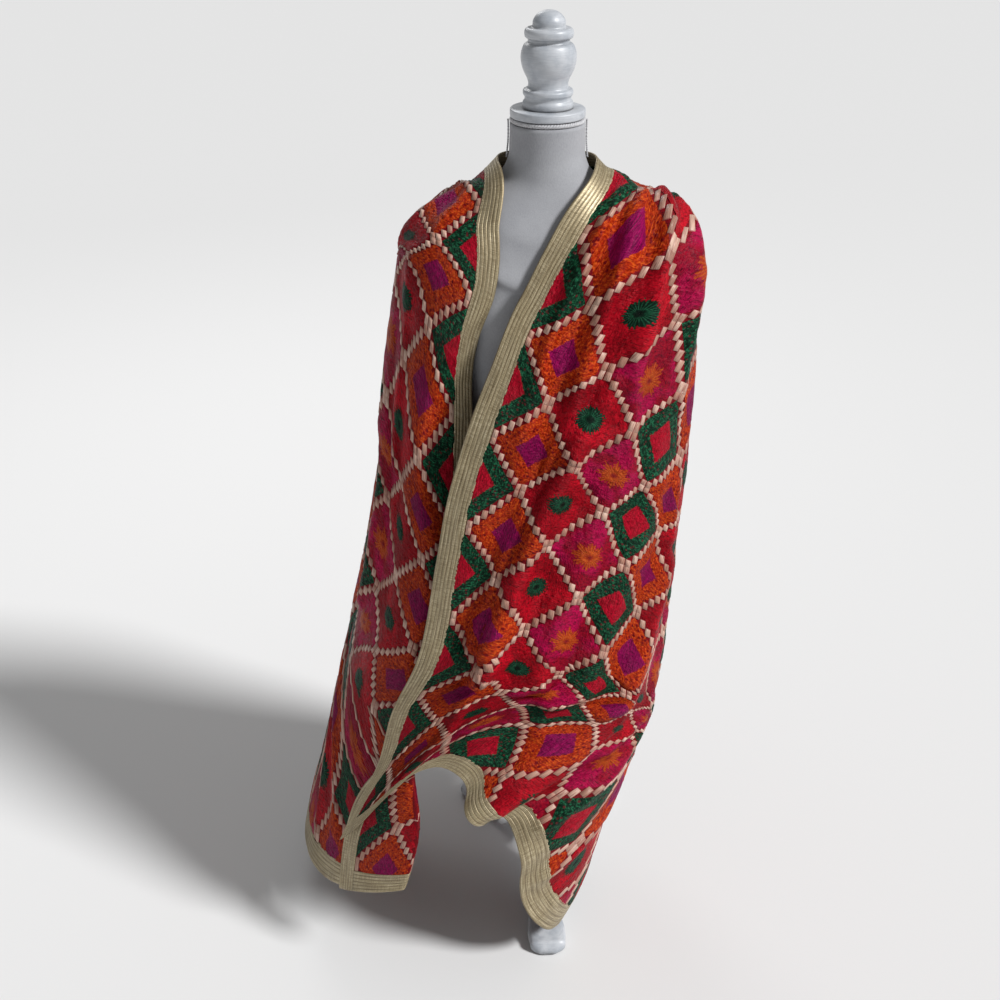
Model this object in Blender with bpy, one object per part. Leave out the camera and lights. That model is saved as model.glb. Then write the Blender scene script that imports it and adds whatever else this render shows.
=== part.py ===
"""Embroidered shawl worn as a wrap over a limbless dress form on a plain stand.

Metres, +Z up. The shawl is one cloth 2.5 m by 1.0 m with a ribbon trim on its four edges.
Every point of it has cloth coordinates: s runs along the long edge from the nape, positive on
the wearer's left, and t runs across the cloth from the edge that lies round the neck.
"""
import bpy
import numpy as np

NAME = "shawl_wrap"
CUTTERS = "cutters"

# Sizes of the cloth
CLOTH_LENGTH = 2.50          # along the edge that goes round the neck
CLOTH_WIDTH = 1.00           # across it
TRIM_WIDTH = 0.033           # ribbon sewn on all four edges
WALL = 0.0016                # thickness of the embroidered cloth and of the trim
TRIM_MIDDLE = 0.022          # extra line of points along the neck trim
SEAM = 0.0003                # clearance between neighbouring pieces
SHOULDER_JOIN = 0.20         # where the back stretch meets each front stretch
SHOULDER_LIFT = 0.004        # cloth above the guide surface where it rests on the form
FOLD_RADIUS = 0.0045         # roundness of the turned-back corner
EDGE_LEAN = 50               # degrees the hidden front edge leans in behind the other front

# Rings of the guide surface that the cloth hangs over, from the neck down.
# Heights at the sides, front and back; centre; half widths and depths.
# side_z, front_z, back_z, centre_x,  left, right, front,  back
GUIDE_RINGS = [
    (1.292, 1.275, 1.286,  0.000, 0.066, 0.066, 0.068, 0.068),
    (1.248, 1.212, 1.240,  0.000, 0.110, 0.112, 0.098, 0.092),
    (1.218, 1.150, 1.190,  0.004, 0.165, 0.172, 0.122, 0.112),
    (1.185, 1.090, 1.130,  0.006, 0.197, 0.202, 0.142, 0.130),
    (1.120, 1.030, 1.060,  0.005, 0.209, 0.208, 0.160, 0.142),
    (0.990, 0.930, 0.950, -0.005, 0.218, 0.217, 0.188, 0.155),
    (0.800, 0.790, 0.790, -0.025, 0.227, 0.228, 0.222, 0.170),
    (0.620, 0.620, 0.620, -0.045, 0.240, 0.244, 0.250, 0.185),
    (0.440, 0.440, 0.440, -0.065, 0.258, 0.246, 0.275, 0.200),
    (0.260, 0.260, 0.260, -0.090, 0.281, 0.228, 0.300, 0.210),
    (0.060, 0.060, 0.060, -0.120, 0.300, 0.200, 0.325, 0.215),
    (-0.15, -0.15, -0.15, -0.150, 0.300, 0.170, 0.350, 0.220),
]
SQUARENESS = 2.35            # 2 is an ellipse, more is squarer

# How the cloth leaves its neck edge. Each row is a thread across the cloth, s metres from the
# nape. It starts at an angle round the guide (0 front, 90 side, 180 back) and a ring number,
# and heads off at so many degrees below level at each distance in HEADING_AT. After the
# distance free it hangs to its far end. tucked is the width that leans in behind the other
# front, lapel the width turned back outward, lift the height over the guide at the edge.
HEADING_AT = (0.0, 0.10, 0.20, 0.26, 0.33, 0.40, 0.47, 0.56, 0.75)
#    s, angle, ring, tucked, lapel, lift, headings at HEADING_AT ..., free, end_angle, end_z
RIGHT_THREADS = [
    (0.000, 180, 0.00, 0, 0, .004,  90,  90,  90, 90, 90, 90, 90, 90, 90, .30, 180, .300),
    (0.070, 126, 0.00, 0, 0, .004,  80,  75,  73, 72, 74, 78, 81, 84, 88, .30, 167, .300),
    (0.140,  70, 0.00, 0, 0, .005,  66,  64,  64, 66, 68, 71, 75, 80, 86, .30, 155, .305),
    (0.205,  26, 0.37, 0, 0, .008,  44,  48,  52, 55, 58, 63, 67, 72, 82, .35, 146, .305),
    (0.280,  -3, 1.29, 0, 0, .012,  36,  41,  47, 51, 56, 61, 65, 70, 80, .38, 138, .300),
    (0.355, -19, 2.44, 0, 0, .014,  24,  33,  43, 50, 56, 60, 64, 68, 76, .42, 131, .290),
    (0.460, -28, 4.14, 0, 0, .016,  10,  23,  38, 48, 56, 60, 63, 66, 74, .45, 123, .270),
    (0.620, -32, 5.47, 0, 0, .016,   0,  11,  24, 34, 43, 51, 57, 62, 70, .48, 112, .235),
    (0.745, -31, 6.21, 0, 0, .016,  -2,   9,  21, 29, 38, 46, 52, 57, 66, .50, 103, .205),
    (0.900, -31, 7.13, 0, 0, .018, -10,   0,  16, 30, 38, 44, 50, 57, 60, .54,  93, .180),
    (1.005, -36, 7.68, 0, 0, .022, -28, -20,   0, 26, 32, 40, 50, 60, 60, .60,  84, .155),
    (1.100, -37, 8.22, 0, 0, .025, -42, -44, -24, 22, 42, 32, 52, 66, 50, .66,  74, .120),
    (1.180, -41, 8.70, 0, 0, .026, -49, -55, -44, 10, 80, 10, 66, 84, 46, .70,  63, .090),
    (1.250, -44, 9.12, 0, 0, .027, -52, -62, -54, -4, 106, -4, 74, 94, 40, .70,  54, .075),
]
LEFT_THREADS = [
    (0.000, 180, 0.00,    0,    0, .004,  90,  90,  90, 90, 90, 90, 90, 90, 90, .30, 180, .300),
    (0.070, 126, 0.00,    0,    0, .004,  80,  75,  73, 72, 74, 78, 82, 86, 88, .30, 168, .300),
    (0.150,  54, 0.10,    0,    0, .004,  52,  48,  50, 56, 62, 70, 76, 82, 86, .33, 162, .300),
    (0.225,  37, 1.15,    0,    0, .004,  22,  34,  44, 54, 64, 72, 74, 78, 84, .33, 156, .290),
    (0.310,  38, 2.57,  .02,    0, .004,   0,  16,  38, 52, 64, 73, 78, 78, 82, .33, 150, .280),
    (0.380,  46, 3.79, .045,    0, .004, -17,   0,  26, 47, 64, 76, 78, 78, 78, .33, 146, .270),
    (0.500,  52, 4.98,  .09,    0, .004, -22,  -8,  20, 46, 70, 78, 76, 76, 72, .33, 141, .250),
    (0.715,  37, 6.35,  .09,    0, .004, -30, -26, -12, 16, 54, 70, 70, 64, 62, .33, 133, .210),
    (0.890,  36, 7.30,  .09,    0, .004, -26, -22, -10, 12, 42, 60, 60, 54, 48, .33, 127, .175),
    (1.000,  28, 8.00,    0,    0, .004, -18, -14,  -6,  6, 28, 42, 46, 42, 34, .33, 122, .150),
    (1.045,  26, 8.26,    0, .055, .004,  -9,  -6,  -2,  6, 21, 33, 38, 33, 28, .33, 120, .135),
    (1.110,  22, 8.62,    0,  .12, .004,   4,   4,   4,  6, 12, 20, 26, 20, 18, .33, 117, .115),
    (1.250,  22, 9.34,    0,  .14, .004,  26,  24,  18, 12,  8,  8,  8, 10,  6, .33, 110, .080),
]

# Largest folds, as soft ridges (height above 0) and troughs between two points of the cloth.
# from_s, from_t, to_s, to_t, half_width, from_height, to_height
RIGHT_FOLDS = [
    (0.14, 0.04, 0.30, 0.26, 0.020, 0.008, 0.006),      # gathers that fan out from the neck
    (0.16, 0.05, 0.34, 0.17, 0.018, 0.007, 0.005),
    (0.12, 0.08, 0.20, 0.32, 0.022, 0.007, 0.004),
    (0.40, 0.165, 0.90, 0.10, 0.030, 0.004, 0.018),     # slanting pleat over the front
    (0.42, 0.115, 0.86, 0.055, 0.018, -0.003, -0.012),  # and the furrow beside it
    (0.35, 0.42, 0.85, 0.38, 0.040, 0.009, 0.009),      # upright fold near the side
    (0.80, 0.36, 1.00, 0.33, 0.026, 0.004, 0.012),
    (1.00, 0.24, 1.27, 0.25, 0.026, 0.000, -0.008),     # hem: arch, bulb, flat, tail
    (0.98, 0.34, 1.27, 0.37, 0.034, 0.002, 0.034),
    (1.00, 0.43, 1.27, 0.44, 0.026, -0.002, -0.014),
    (0.90, 0.50, 1.27, 0.52, 0.034, 0.004, 0.011),
    (1.00, 0.62, 1.27, 0.63, 0.035, 0.000, -0.008),
]
LEFT_FOLDS = [
    (0.20, 0.18, 0.60, 0.22, 0.030, 0.007, 0.007),
    (0.45, 0.15, 0.95, 0.19, 0.026, -0.006, -0.006),
]
# The far edge has more length than its way round needs, so it hangs in soft uneven pleats.
PLEAT = 0.020                # height of the pleats at the far edge
PLEAT_PITCH = 0.20           # cloth taken by one pleat
PLEAT_FROM = 0.48            # where they begin across the cloth
PLEAT_GROWTH = 0.42          # way in which they reach their full height
PLEAT_DRIFT = (0.55, 0.8)    # length and size of the unevenness of their spacing

# Stations of the solid: closer together at the shoulders and the hem than elsewhere.
SIDE_S = [0.23, 0.26, 0.30, 0.34, 0.38, 0.42, 0.46, 0.50, 0.54, 0.58, 0.62, 0.66, 0.70, 0.74,
          0.78, 0.82, 0.855, 0.89, 0.925, 0.96, 1.00, 1.01, 1.018, 1.025, 1.032, 1.04, 1.055,
          1.08, 1.11, 1.15, 1.185]
BACK_S = [0.0, 0.025, 0.05, 0.07, 0.09, 0.11, 0.13, 0.15, 0.175]
ACROSS_T = [0.042, 0.056, 0.08, 0.105, 0.13, 0.155, 0.185, 0.215, 0.245, 0.275, 0.305, 0.335, 0.37,
            0.405, 0.44, 0.48, 0.52, 0.56, 0.61, 0.67, 0.73, 0.79, 0.85, 0.91]

# Dress form and stand
FORM_GAP = 0.0006            # form below the guide surface at the shoulders
FORM_SIDES = 36
# side_z, front_z, back_z, centre_x, left, right, front, back, squareness
NECK_RINGS = [
    (1.3520, 1.3520, 1.3520, 0, 0.0460, 0.0460, 0.0460, 0.0460, 2.0),
    (1.3447, 1.3447, 1.3447, 0, 0.0460, 0.0460, 0.0460, 0.0460, 2.0),
    (1.3447, 1.3447, 1.3447, 0, 0.0525, 0.0525, 0.0525, 0.0525, 2.0),
    (1.3200, 1.3180, 1.3200, 0, 0.0530, 0.0530, 0.0530, 0.0530, 2.0),
    (1.2960, 1.2860, 1.2960, 0, 0.0550, 0.0550, 0.0550, 0.0540, 2.0),
    (1.2740, 1.2560, 1.2700, 0, 0.0680, 0.0680, 0.0640, 0.0620, 2.1),
]
SHOULDER_LEVELS = (1.0, 1.4, 1.8, 2.2)
BODY_RINGS = [
    (1.1960, 1.1200, 1.1550, 0.004, 0.1800, 0.1860, 0.1240, 0.1140, 2.35),
    (1.1600, 1.0750, 1.1100, 0.004, 0.1880, 0.1900, 0.1290, 0.1170, 2.35),
    (1.1000, 1.0300, 1.0600, 0.000, 0.1820, 0.1820, 0.1330, 0.1150, 2.30),
    (1.0000, 0.9700, 0.9800, 0.000, 0.1600, 0.1600, 0.1300, 0.1050, 2.25),
    (0.8800, 0.8800, 0.8800, 0.000, 0.1340, 0.1340, 0.1060, 0.0930, 2.20),
    (0.8000, 0.8000, 0.8000, 0.000, 0.1400, 0.1400, 0.1060, 0.0980, 2.20),
    (0.7000, 0.7000, 0.7000, 0.000, 0.1620, 0.1620, 0.1180, 0.1130, 2.20),
    (0.6300, 0.6300, 0.6300, 0.000, 0.1700, 0.1700, 0.1200, 0.1170, 2.20),
    (0.6000, 0.6000, 0.6000, 0.000, 0.1680, 0.1680, 0.1180, 0.1150, 2.20),
]
PLATE_RADIUS = 0.0525
PLATE_BOTTOM = 1.3523
PLATE_TOP = 1.3640
CORD_RADIUS = 0.0034         # braided cord that lies under the plate
CORD_RING = 0.0500
CORD_HEIGHT = 1.3485
SIDE_CORD_RADIUS = 0.0013    # thinner cords down the side seams of the neck
# radius, height of the neck where a side cord lies on it
SIDE_CORD_SEATS = ((0.0527, 1.3400), (0.0530, 1.3200), (0.0540, 1.3080), (0.0551, 1.2962))
# radius, height of the turned finial, top to bottom
FINIAL_PROFILE = [
    (0.0000, 1.4920), (0.0095, 1.4905), (0.0170, 1.4860), (0.0220, 1.4785), (0.0235, 1.4700),
    (0.0300, 1.4692), (0.0330, 1.4660), (0.0335, 1.4620), (0.0325, 1.4575), (0.0290, 1.4550),
    (0.0285, 1.4520), (0.0335, 1.4480), (0.0368, 1.4410), (0.0382, 1.4320), (0.0370, 1.4220),
    (0.0335, 1.4120), (0.0290, 1.4030), (0.0275, 1.3960), (0.0290, 1.3910), (0.0340, 1.3890),
    (0.0345, 1.3830), (0.0325, 1.3800), (0.0325, 1.3760), (0.0345, 1.3730), (0.0350, 1.3643),
    (0.0000, 1.3643),
]
LATHE_STEPS = 24
POLE_RADIUS = 0.014
POLE_TOP = 0.5997
POLE_BOTTOM = 0.1103
# radius, height of the hub that holds the three legs
HUB_PROFILE = [(0.0, 0.1100), (0.020, 0.1100), (0.026, 0.1040), (0.026, 0.0560), (0.0, 0.0560)]
# foot_x, foot_y of each leg; the front one shows under the hem
LEG_FEET = {
    "stand_leg_front": (0.017, -0.262),
    "stand_leg_left": (-0.125, 0.170),
    "stand_leg_right": (0.140, 0.170),
}
# share of the way from hub to foot, half width, underside height, top height
LEG_SECTIONS = [
    (0.0000, 0.012, 0.066, 0.100),
    (0.3000, 0.016, 0.036, 0.062),
    (0.5000, 0.021, 0.010, 0.036),
    (0.6500, 0.026, 0.002, 0.028),
    (0.7500, 0.030, 0.000, 0.026),
    (0.9200, 0.031, 0.000, 0.025),
    (0.9750, 0.026, 0.000, 0.021),
    (1.0000, 0.014, 0.002, 0.013),
]
LEG_ROOT = 0.0262            # legs start just outside the hub

# Looks
# name: colour, roughness, metallic
FINISHES = {
    "embroidery": ((0.62, 0.03, 0.07), 0.60, 0.0),
    "trim": ((0.55, 0.48, 0.34), 0.42, 0.35),
    "jersey": ((0.80, 0.80, 0.82), 0.85, 0.0),
    "paint": ((0.86, 0.86, 0.88), 0.35, 0.0),
    "cord": ((0.45, 0.46, 0.50), 0.55, 0.2),
}


# Curves and the guide surface
def smooth_curve(at, values):
    """A smooth curve through rows of values: returns places, rows and slopes."""
    at, values = np.asarray(at, float), np.asarray(values, float)
    step = np.diff(at)[:, None]
    rate = np.diff(values, axis=0) / step
    slope = np.empty_like(values)
    slope[1:-1] = (rate[:-1] * step[1:] + rate[1:] * step[:-1]) / (step[:-1] + step[1:])
    slope[0] = 1.5 * rate[0] - 0.5 * slope[1]
    slope[-1] = 1.5 * rate[-1] - 0.5 * slope[-2]
    return at, values, slope


def read_curve(curve, x):
    """Rows of the curve at x, held level beyond its ends."""
    at, values, slope = curve
    x = np.clip(np.asarray(x, float), at[0], at[-1])
    i = np.clip(np.searchsorted(at, x, side="right") - 1, 0, len(at) - 2)
    step = (at[i + 1] - at[i])[..., None]
    u = (x - at[i])[..., None] / step
    rise = u * u * (3 - 2 * u)
    bend = (1 - u) * slope[i] - u * slope[i + 1]
    return (1 - rise) * values[i] + rise * values[i + 1] + step * u * (1 - u) * bend


GUIDE = smooth_curve(np.arange(len(GUIDE_RINGS)), GUIDE_RINGS)
LAST_RING = len(GUIDE_RINGS) - 1


def ring_point(angle, ring, squareness):
    """Points of a ring row (side_z, front_z, ...) at angles in degrees."""
    side_z, front_z, back_z, centre, left, right, front, back = np.moveaxis(ring, -1, 0)
    turn = np.radians(angle)
    across, ahead = np.sin(turn), np.cos(turn)
    half = np.where(across > 0, right, left)
    deep = np.where(ahead > 0, front, back)
    end_z = np.where(ahead > 0, front_z, back_z)
    power = np.abs(across / half) ** squareness + np.abs(ahead / deep) ** squareness
    reach = power ** (-1 / squareness)
    height = side_z * across ** 2 + end_z * ahead ** 2
    return np.stack([centre + reach * across, -reach * ahead, height], -1)


def guide_point(angle, ring):
    return ring_point(angle, read_curve(GUIDE, ring), SQUARENESS)


def guide_slopes(angle, ring):
    """How the guide point moves per degree and per ring."""
    small = 1e-3
    ring = np.clip(ring, small, LAST_RING - small)
    turned = guide_point(angle + 50 * small, ring) - guide_point(angle - 50 * small, ring)
    lowered = guide_point(angle, ring + small) - guide_point(angle, ring - small)
    return turned / (100 * small), lowered / (2 * small)


def guide_outward(angle, ring):
    turned, lowered = guide_slopes(angle, ring)
    out = np.cross(lowered, turned)
    return out / np.linalg.norm(out, axis=-1, keepdims=True)


def ring_at(height):
    """Ring number of a height, read down the sides."""
    heights = [-row[0] for row in GUIDE_RINGS]
    return np.interp(-height, heights, np.arange(len(heights)))


def ease(x):
    x = np.clip(x, 0, 1)
    return x * x * (3 - 2 * x)


# The draped cloth
def fold_height(folds, s, t):
    total = np.zeros(np.broadcast(s, t).shape)
    for from_s, from_t, to_s, to_t, half_width, from_height, to_height in folds:
        along_s, along_t = to_s - from_s, to_t - from_t
        way = ((s - from_s) * along_s + (t - from_t) * along_t) / (along_s ** 2 + along_t ** 2)
        way = np.clip(way, 0, 1)
        away = (s - from_s - way * along_s) ** 2 + (t - from_t - way * along_t) ** 2
        height = from_height + (to_height - from_height) * way
        total = total + height * np.exp(-away / half_width ** 2)
    return total


def pleat_height(s, t, side):
    length, size = PLEAT_DRIFT
    phase = 2 * np.pi * s / PLEAT_PITCH + side * size * np.sin(2 * np.pi * s / length)
    depth = PLEAT * (1 - 0.7 * ease((s - 0.95) / 0.25)) * (1 - 0.25 * np.sin(2 * np.pi * s / 0.37))
    return depth * np.cos(phase) * ease((t - PLEAT_FROM) / PLEAT_GROWTH)


class Threads:
    """The rows of a threads table, read at every station s."""

    def __init__(self, table, s):
        rows = read_curve(smooth_curve([row[0] for row in table], [row[1:] for row in table]), s)
        last = 5 + len(HEADING_AT)
        self.angle, self.ring = rows[:, 0], np.maximum(rows[:, 1], 0)
        self.tucked, self.lapel = np.maximum(rows[:, 2], 0), np.maximum(rows[:, 3], 0)
        self.lift = rows[:, 4]
        self.headings = rows[:, 5:last]
        self.free, self.end_angle, self.end_z = rows[:, last], rows[:, last + 1], rows[:, last + 2]
        self.start = self.tucked + self.lapel


def walk_threads(rows, folds, s, side, step=0.01):
    """Walk every thread over the guide; returns (angle, ring) after each step."""
    angle, ring = rows.angle.copy(), rows.ring.copy()
    path = [np.stack([angle, ring], -1)]
    for k in range(round(CLOTH_WIDTH / step)):
        at = (k + 0.5) * step
        heading = np.radians([np.interp(at, HEADING_AT, row) for row in rows.headings])
        turned, lowered = guide_slopes(angle * side, ring)
        turned = turned * side
        size = np.linalg.norm(turned, axis=-1)
        level = turned / size[:, None]
        slant = (lowered * level).sum(-1)
        fall = np.linalg.norm(lowered - slant[:, None] * level, axis=-1)
        t = np.clip(rows.start + at, 0, CLOTH_WIDTH)
        rise = (fold_height(folds, s, t + step / 2) - fold_height(folds, s, t - step / 2)) / step
        pace = step * np.sqrt(np.maximum(1 - rise ** 2, 0.2))
        down = pace * np.sin(heading) / fall
        angle = angle + (pace * np.cos(heading) - down * slant) / size
        ring = np.clip(ring + down, 0, LAST_RING)
        path.append(np.stack([angle, ring], -1))
    return np.array(path).swapaxes(0, 1)


def hang(path, rows, i, way, step=0.01):
    """Angle and ring of thread i at distances way from its start, free end included."""
    end = CLOTH_WIDTH - rows.start[i]
    k = int(min(rows.free[i], end - 0.05) / step)
    leave, speed = path[i, k], (path[i, k] - path[i, k - 2]) / (2 * step)
    goal = np.array([rows.end_angle[i], ring_at(rows.end_z[i])])
    span = end - k * step
    arrive = (goal - leave) / span * np.array([0.6, 1.0])
    u = np.clip((way - k * step) / span, 0, 1)[:, None]
    rise = u * u * (3 - 2 * u)
    free = (1 - rise) * leave + rise * goal
    free = free + span * u * (1 - u) * ((1 - u) * speed - u * arrive)
    walked = np.stack([np.interp(way, np.arange(len(path[i])) * step, path[i, :, c])
                       for c in (0, 1)], -1)
    return np.where((way > k * step)[:, None], free, walked)


def turn_back(arc):
    """Way along the cloth and height over it for a fold at arc 0, turned back below it."""
    quarter = np.pi / 2 * FOLD_RADIUS
    bend = np.clip(arc / FOLD_RADIUS, -np.pi / 2, np.pi / 2)
    way = np.where(np.abs(arc) > quarter, np.abs(arc) - quarter, 0)
    return way, FOLD_RADIUS * (1 - np.sin(bend))


def lean_in(points, start, t, hinge, flat, out):
    """Swing the edge (t below start) in behind the cloth about its hinge line."""
    fine = np.linspace(0, start, 40)
    lean = np.radians(EDGE_LEAN) * ease(fine / 0.03)
    ahead = np.concatenate([[0], np.cumsum(np.cos(lean[1:]) * np.diff(fine))])
    inward = np.concatenate([[0], np.cumsum(np.sin(lean[1:]) * np.diff(fine))])
    edge = t < start
    way = start - t[edge]
    points[edge] = (hinge + np.interp(way, fine, ahead)[:, None] * flat
                    - np.interp(way, fine, inward)[:, None] * out)
    return points


def drape(table, folds, side, s, t):
    """Points of one half of the shawl at stations s and t."""
    rows = Threads(table, s)
    path = walk_threads(rows, folds, s, side)
    cloth = np.empty((len(s), len(t), 3))
    for i in range(len(s)):
        start = rows.start[i]
        has_lapel = rows.lapel[i] > 0.0005
        lift = SHOULDER_LIFT + (rows.lift[i] - SHOULDER_LIFT) * np.exp(-(t / 0.40) ** 2)
        lift = lift + fold_height(folds, s[i], t) + pleat_height(s[i], t, side)
        way = np.maximum(t - start, 0)
        if has_lapel:
            way, back = turn_back(t - start)
            lift = lift + back
        place = hang(path, rows, i, way)
        out = guide_outward(place[:, 0] * side, place[:, 1])
        points = guide_point(place[:, 0] * side, place[:, 1]) + out * lift[:, None]
        if start > 0.0005 and not has_lapel:
            near = hang(path, rows, i, np.array([0.0, 0.01]))
            near_out = guide_outward(near[:, 0] * side, near[:, 1])
            edge_lift = SHOULDER_LIFT + fold_height(folds, s[i], np.array([start]))
            near_points = guide_point(near[:, 0] * side, near[:, 1]) + near_out * edge_lift
            flat = near_points[0] - near_points[1]
            flat = flat / np.linalg.norm(flat)
            points = lean_in(points, start, t, near_points[0], flat, near_out[0])
        cloth[i] = points
    return cloth


def open_seams(points, drawn, stations):
    """Set both sides of every seam evenly apart, square to the seam line as drawn."""
    for i in np.nonzero(np.diff(stations) < 2 * SEAM)[0]:
        line = np.gradient(drawn[i] + drawn[i + 1], axis=0)
        line = line / np.linalg.norm(line, axis=-1, keepdims=True)
        across = drawn[i + 1] - drawn[i]
        across = across - (across * line).sum(-1, keepdims=True) * line
        across = across / np.linalg.norm(across, axis=-1, keepdims=True)
        middle = (points[i] + points[i + 1]) / 2
        points[i] = middle - across * SEAM / 2
        points[i + 1] = middle + across * SEAM / 2
    return points


def match_seams(out, stations):
    """Give both sides of every seam the same outward direction, so the walls stay parallel."""
    out = out / np.linalg.norm(out, axis=-1, keepdims=True)
    for i in np.nonzero(np.diff(stations) < 2 * SEAM)[0]:
        out[i] = out[i] + out[i + 1]
        out[i + 1] = out[i]
    return out


def shawl_grid():
    """Stations s, t of the whole shawl, its points and the outward direction at each."""
    end = CLOTH_LENGTH / 2
    half = (BACK_S + [SHOULDER_JOIN - SEAM / 2, SHOULDER_JOIN + SEAM / 2] + SIDE_S
            + [end - TRIM_WIDTH - SEAM / 2, end - TRIM_WIDTH + SEAM / 2, end])
    half = np.array(half)
    far = CLOTH_WIDTH - TRIM_WIDTH
    t = np.array([0, TRIM_MIDDLE, TRIM_WIDTH - SEAM / 2, TRIM_WIDTH + SEAM / 2] + ACROSS_T
                 + [far - SEAM / 2, far + SEAM / 2, CLOTH_WIDTH])
    right = drape(RIGHT_THREADS, RIGHT_FOLDS, 1, half, t)
    left = drape(LEFT_THREADS, LEFT_FOLDS, -1, half, t)
    s = np.concatenate([-half[::-1], half[1:]])
    points = np.concatenate([left[::-1], right[1:]])
    drawn = points.copy()
    points = open_seams(points, drawn, s)
    points = open_seams(points.swapaxes(0, 1), drawn.swapaxes(0, 1), t).swapaxes(0, 1)
    out = np.cross(np.gradient(points, axis=1), np.gradient(points, axis=0))
    out = match_seams(out, s)
    out = match_seams(out.swapaxes(0, 1), t).swapaxes(0, 1)
    return s, t, points, out / np.linalg.norm(out, axis=-1, keepdims=True)


# Blender objects
def clear_scene():
    for thing in list(bpy.data.objects):
        bpy.data.objects.remove(thing, do_unlink=True)


def new_collection(name):
    old = bpy.data.collections.get(name)
    if old is not None:
        bpy.data.collections.remove(old)
    fresh = bpy.data.collections.new(name)
    bpy.context.scene.collection.children.link(fresh)
    return fresh


def finish_material(name, finish):
    colour, roughness, metallic = FINISHES[finish]
    material = bpy.data.materials.new(name + "_" + finish)
    material.use_nodes = True
    shader = material.node_tree.nodes["Principled BSDF"]
    shader.inputs["Base Color"].default_value = (*colour, 1.0)
    shader.inputs["Roughness"].default_value = roughness
    shader.inputs["Metallic"].default_value = metallic
    material.diffuse_color = (*colour, 1.0)
    return material


def add_body(name, points, faces, finish, collection, smooth=True):
    mesh = bpy.data.meshes.new(name)
    mesh.from_pydata([tuple(float(c) for c in p) for p in points], [], faces)
    mesh.update()
    if smooth:
        mesh.polygons.foreach_set("use_smooth", [True] * len(mesh.polygons))
    body = bpy.data.objects.new(name, mesh)
    body.data.materials.append(finish_material(name, finish))
    collection.objects.link(body)
    return body


def sheet_body(name, points, out, finish, collection):
    """A closed wall of even thickness about a grid of cloth points."""
    rows, columns = points.shape[:2]
    count = rows * columns
    both = np.concatenate([(points + out * WALL / 2).reshape(-1, 3),
                           (points - out * WALL / 2).reshape(-1, 3)])
    faces = []
    for i in range(rows - 1):
        for j in range(columns - 1):
            a, b = i * columns + j, (i + 1) * columns + j
            faces += [(a, a + 1, b + 1), (a, b + 1, b)]
            faces += [(a + count, b + 1 + count, a + 1 + count), (a + count, b + count, b + 1 + count)]
    rim = [i * columns for i in range(rows)]
    rim += [(rows - 1) * columns + j for j in range(1, columns)]
    rim += [i * columns + columns - 1 for i in range(rows - 2, -1, -1)]
    rim += [j for j in range(columns - 2, 0, -1)]
    for a, b in zip(rim, rim[1:] + rim[:1]):
        # the same diagonal on both sides of a seam, so the two walls run parallel
        if a < b:
            faces += [(a, b, b + count), (a, b + count, a + count)]
        else:
            faces += [(a, b, a + count), (b, b + count, a + count)]
    return add_body(name, both, faces, finish, collection)


def lofted_body(name, rings, finish, collection):
    """A closed body through rings of points, first and last ring capped to their centres."""
    sides = len(rings[0])
    points = [p for ring in rings for p in ring]
    points += [np.mean(rings[0], axis=0), np.mean(rings[-1], axis=0)]
    first, last = len(points) - 2, len(points) - 1
    faces = []
    for k in range(len(rings) - 1):
        for i in range(sides):
            j = (i + 1) % sides
            a, b = k * sides, (k + 1) * sides
            faces += [(a + i, b + i, b + j), (a + i, b + j, a + j)]
    end = (len(rings) - 1) * sides
    for i in range(sides):
        j = (i + 1) % sides
        faces += [(first, i, j), (last, end + j, end + i)]
    return add_body(name, points, faces, finish, collection)


def lathe_body(name, profile, finish, collection, steps=LATHE_STEPS):
    """A closed turned body; the profile runs from the top centre to the bottom centre."""
    points = [(0.0, 0.0, profile[0][1])]
    for radius, height in profile[1:-1]:
        for i in range(steps):
            turn = 2 * np.pi * i / steps
            points.append((radius * np.cos(turn), radius * np.sin(turn), height))
    points.append((0.0, 0.0, profile[-1][1]))
    last = len(points) - 1
    rings = len(profile) - 2
    faces = []
    for i in range(steps):
        j = (i + 1) % steps
        faces.append((0, 1 + i, 1 + j))
        for k in range(rings - 1):
            a, b = 1 + k * steps, 1 + (k + 1) * steps
            faces += [(a + i, b + i, b + j), (a + i, b + j, a + j)]
        end = 1 + (rings - 1) * steps
        faces.append((last, end + j, end + i))
    return add_body(name, points, faces, finish, collection)


def tube_rings(path, radius, sides):
    """Rings of a round tube along a path of points that lies in an upright plane y = const."""
    path = np.asarray(path, float)
    along = np.gradient(path, axis=0)
    along = along / np.linalg.norm(along, axis=-1, keepdims=True)
    depth = np.array([0.0, 1.0, 0.0])
    rings = []
    for point, way in zip(path, along):
        wide = np.cross(depth, way)
        turns = 2 * np.pi * np.arange(sides) / sides
        rings.append([point + radius * (np.cos(a) * wide - np.sin(a) * depth) for a in turns])
    return rings


# The pieces
def build_shawl(collection):
    s, t, points, out = shawl_grid()
    end = CLOTH_LENGTH / 2 - TRIM_WIDTH
    inside = (t > TRIM_WIDTH) & (t < CLOTH_WIDTH - TRIM_WIDTH)
    join = SHOULDER_JOIN
    stretches = {
        "shawl_left_front": (s > -end) & (s < -join),
        "shawl_back": (s > -join) & (s < join),
        "shawl_right_front": (s > join) & (s < end),
        "trim_left_end": s < -end,
        "trim_right_end": s > end,
    }
    for name, rows in stretches.items():
        finish = "trim" if name.startswith("trim") else "embroidery"
        piece = np.ix_(rows, inside)
        sheet_body(name, points[piece], out[piece], finish, collection)
    for name, columns in (("trim_neck", t < TRIM_WIDTH), ("trim_outer", t > CLOTH_WIDTH - TRIM_WIDTH)):
        sheet_body(name, points[:, columns], out[:, columns], "trim", collection)


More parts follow.
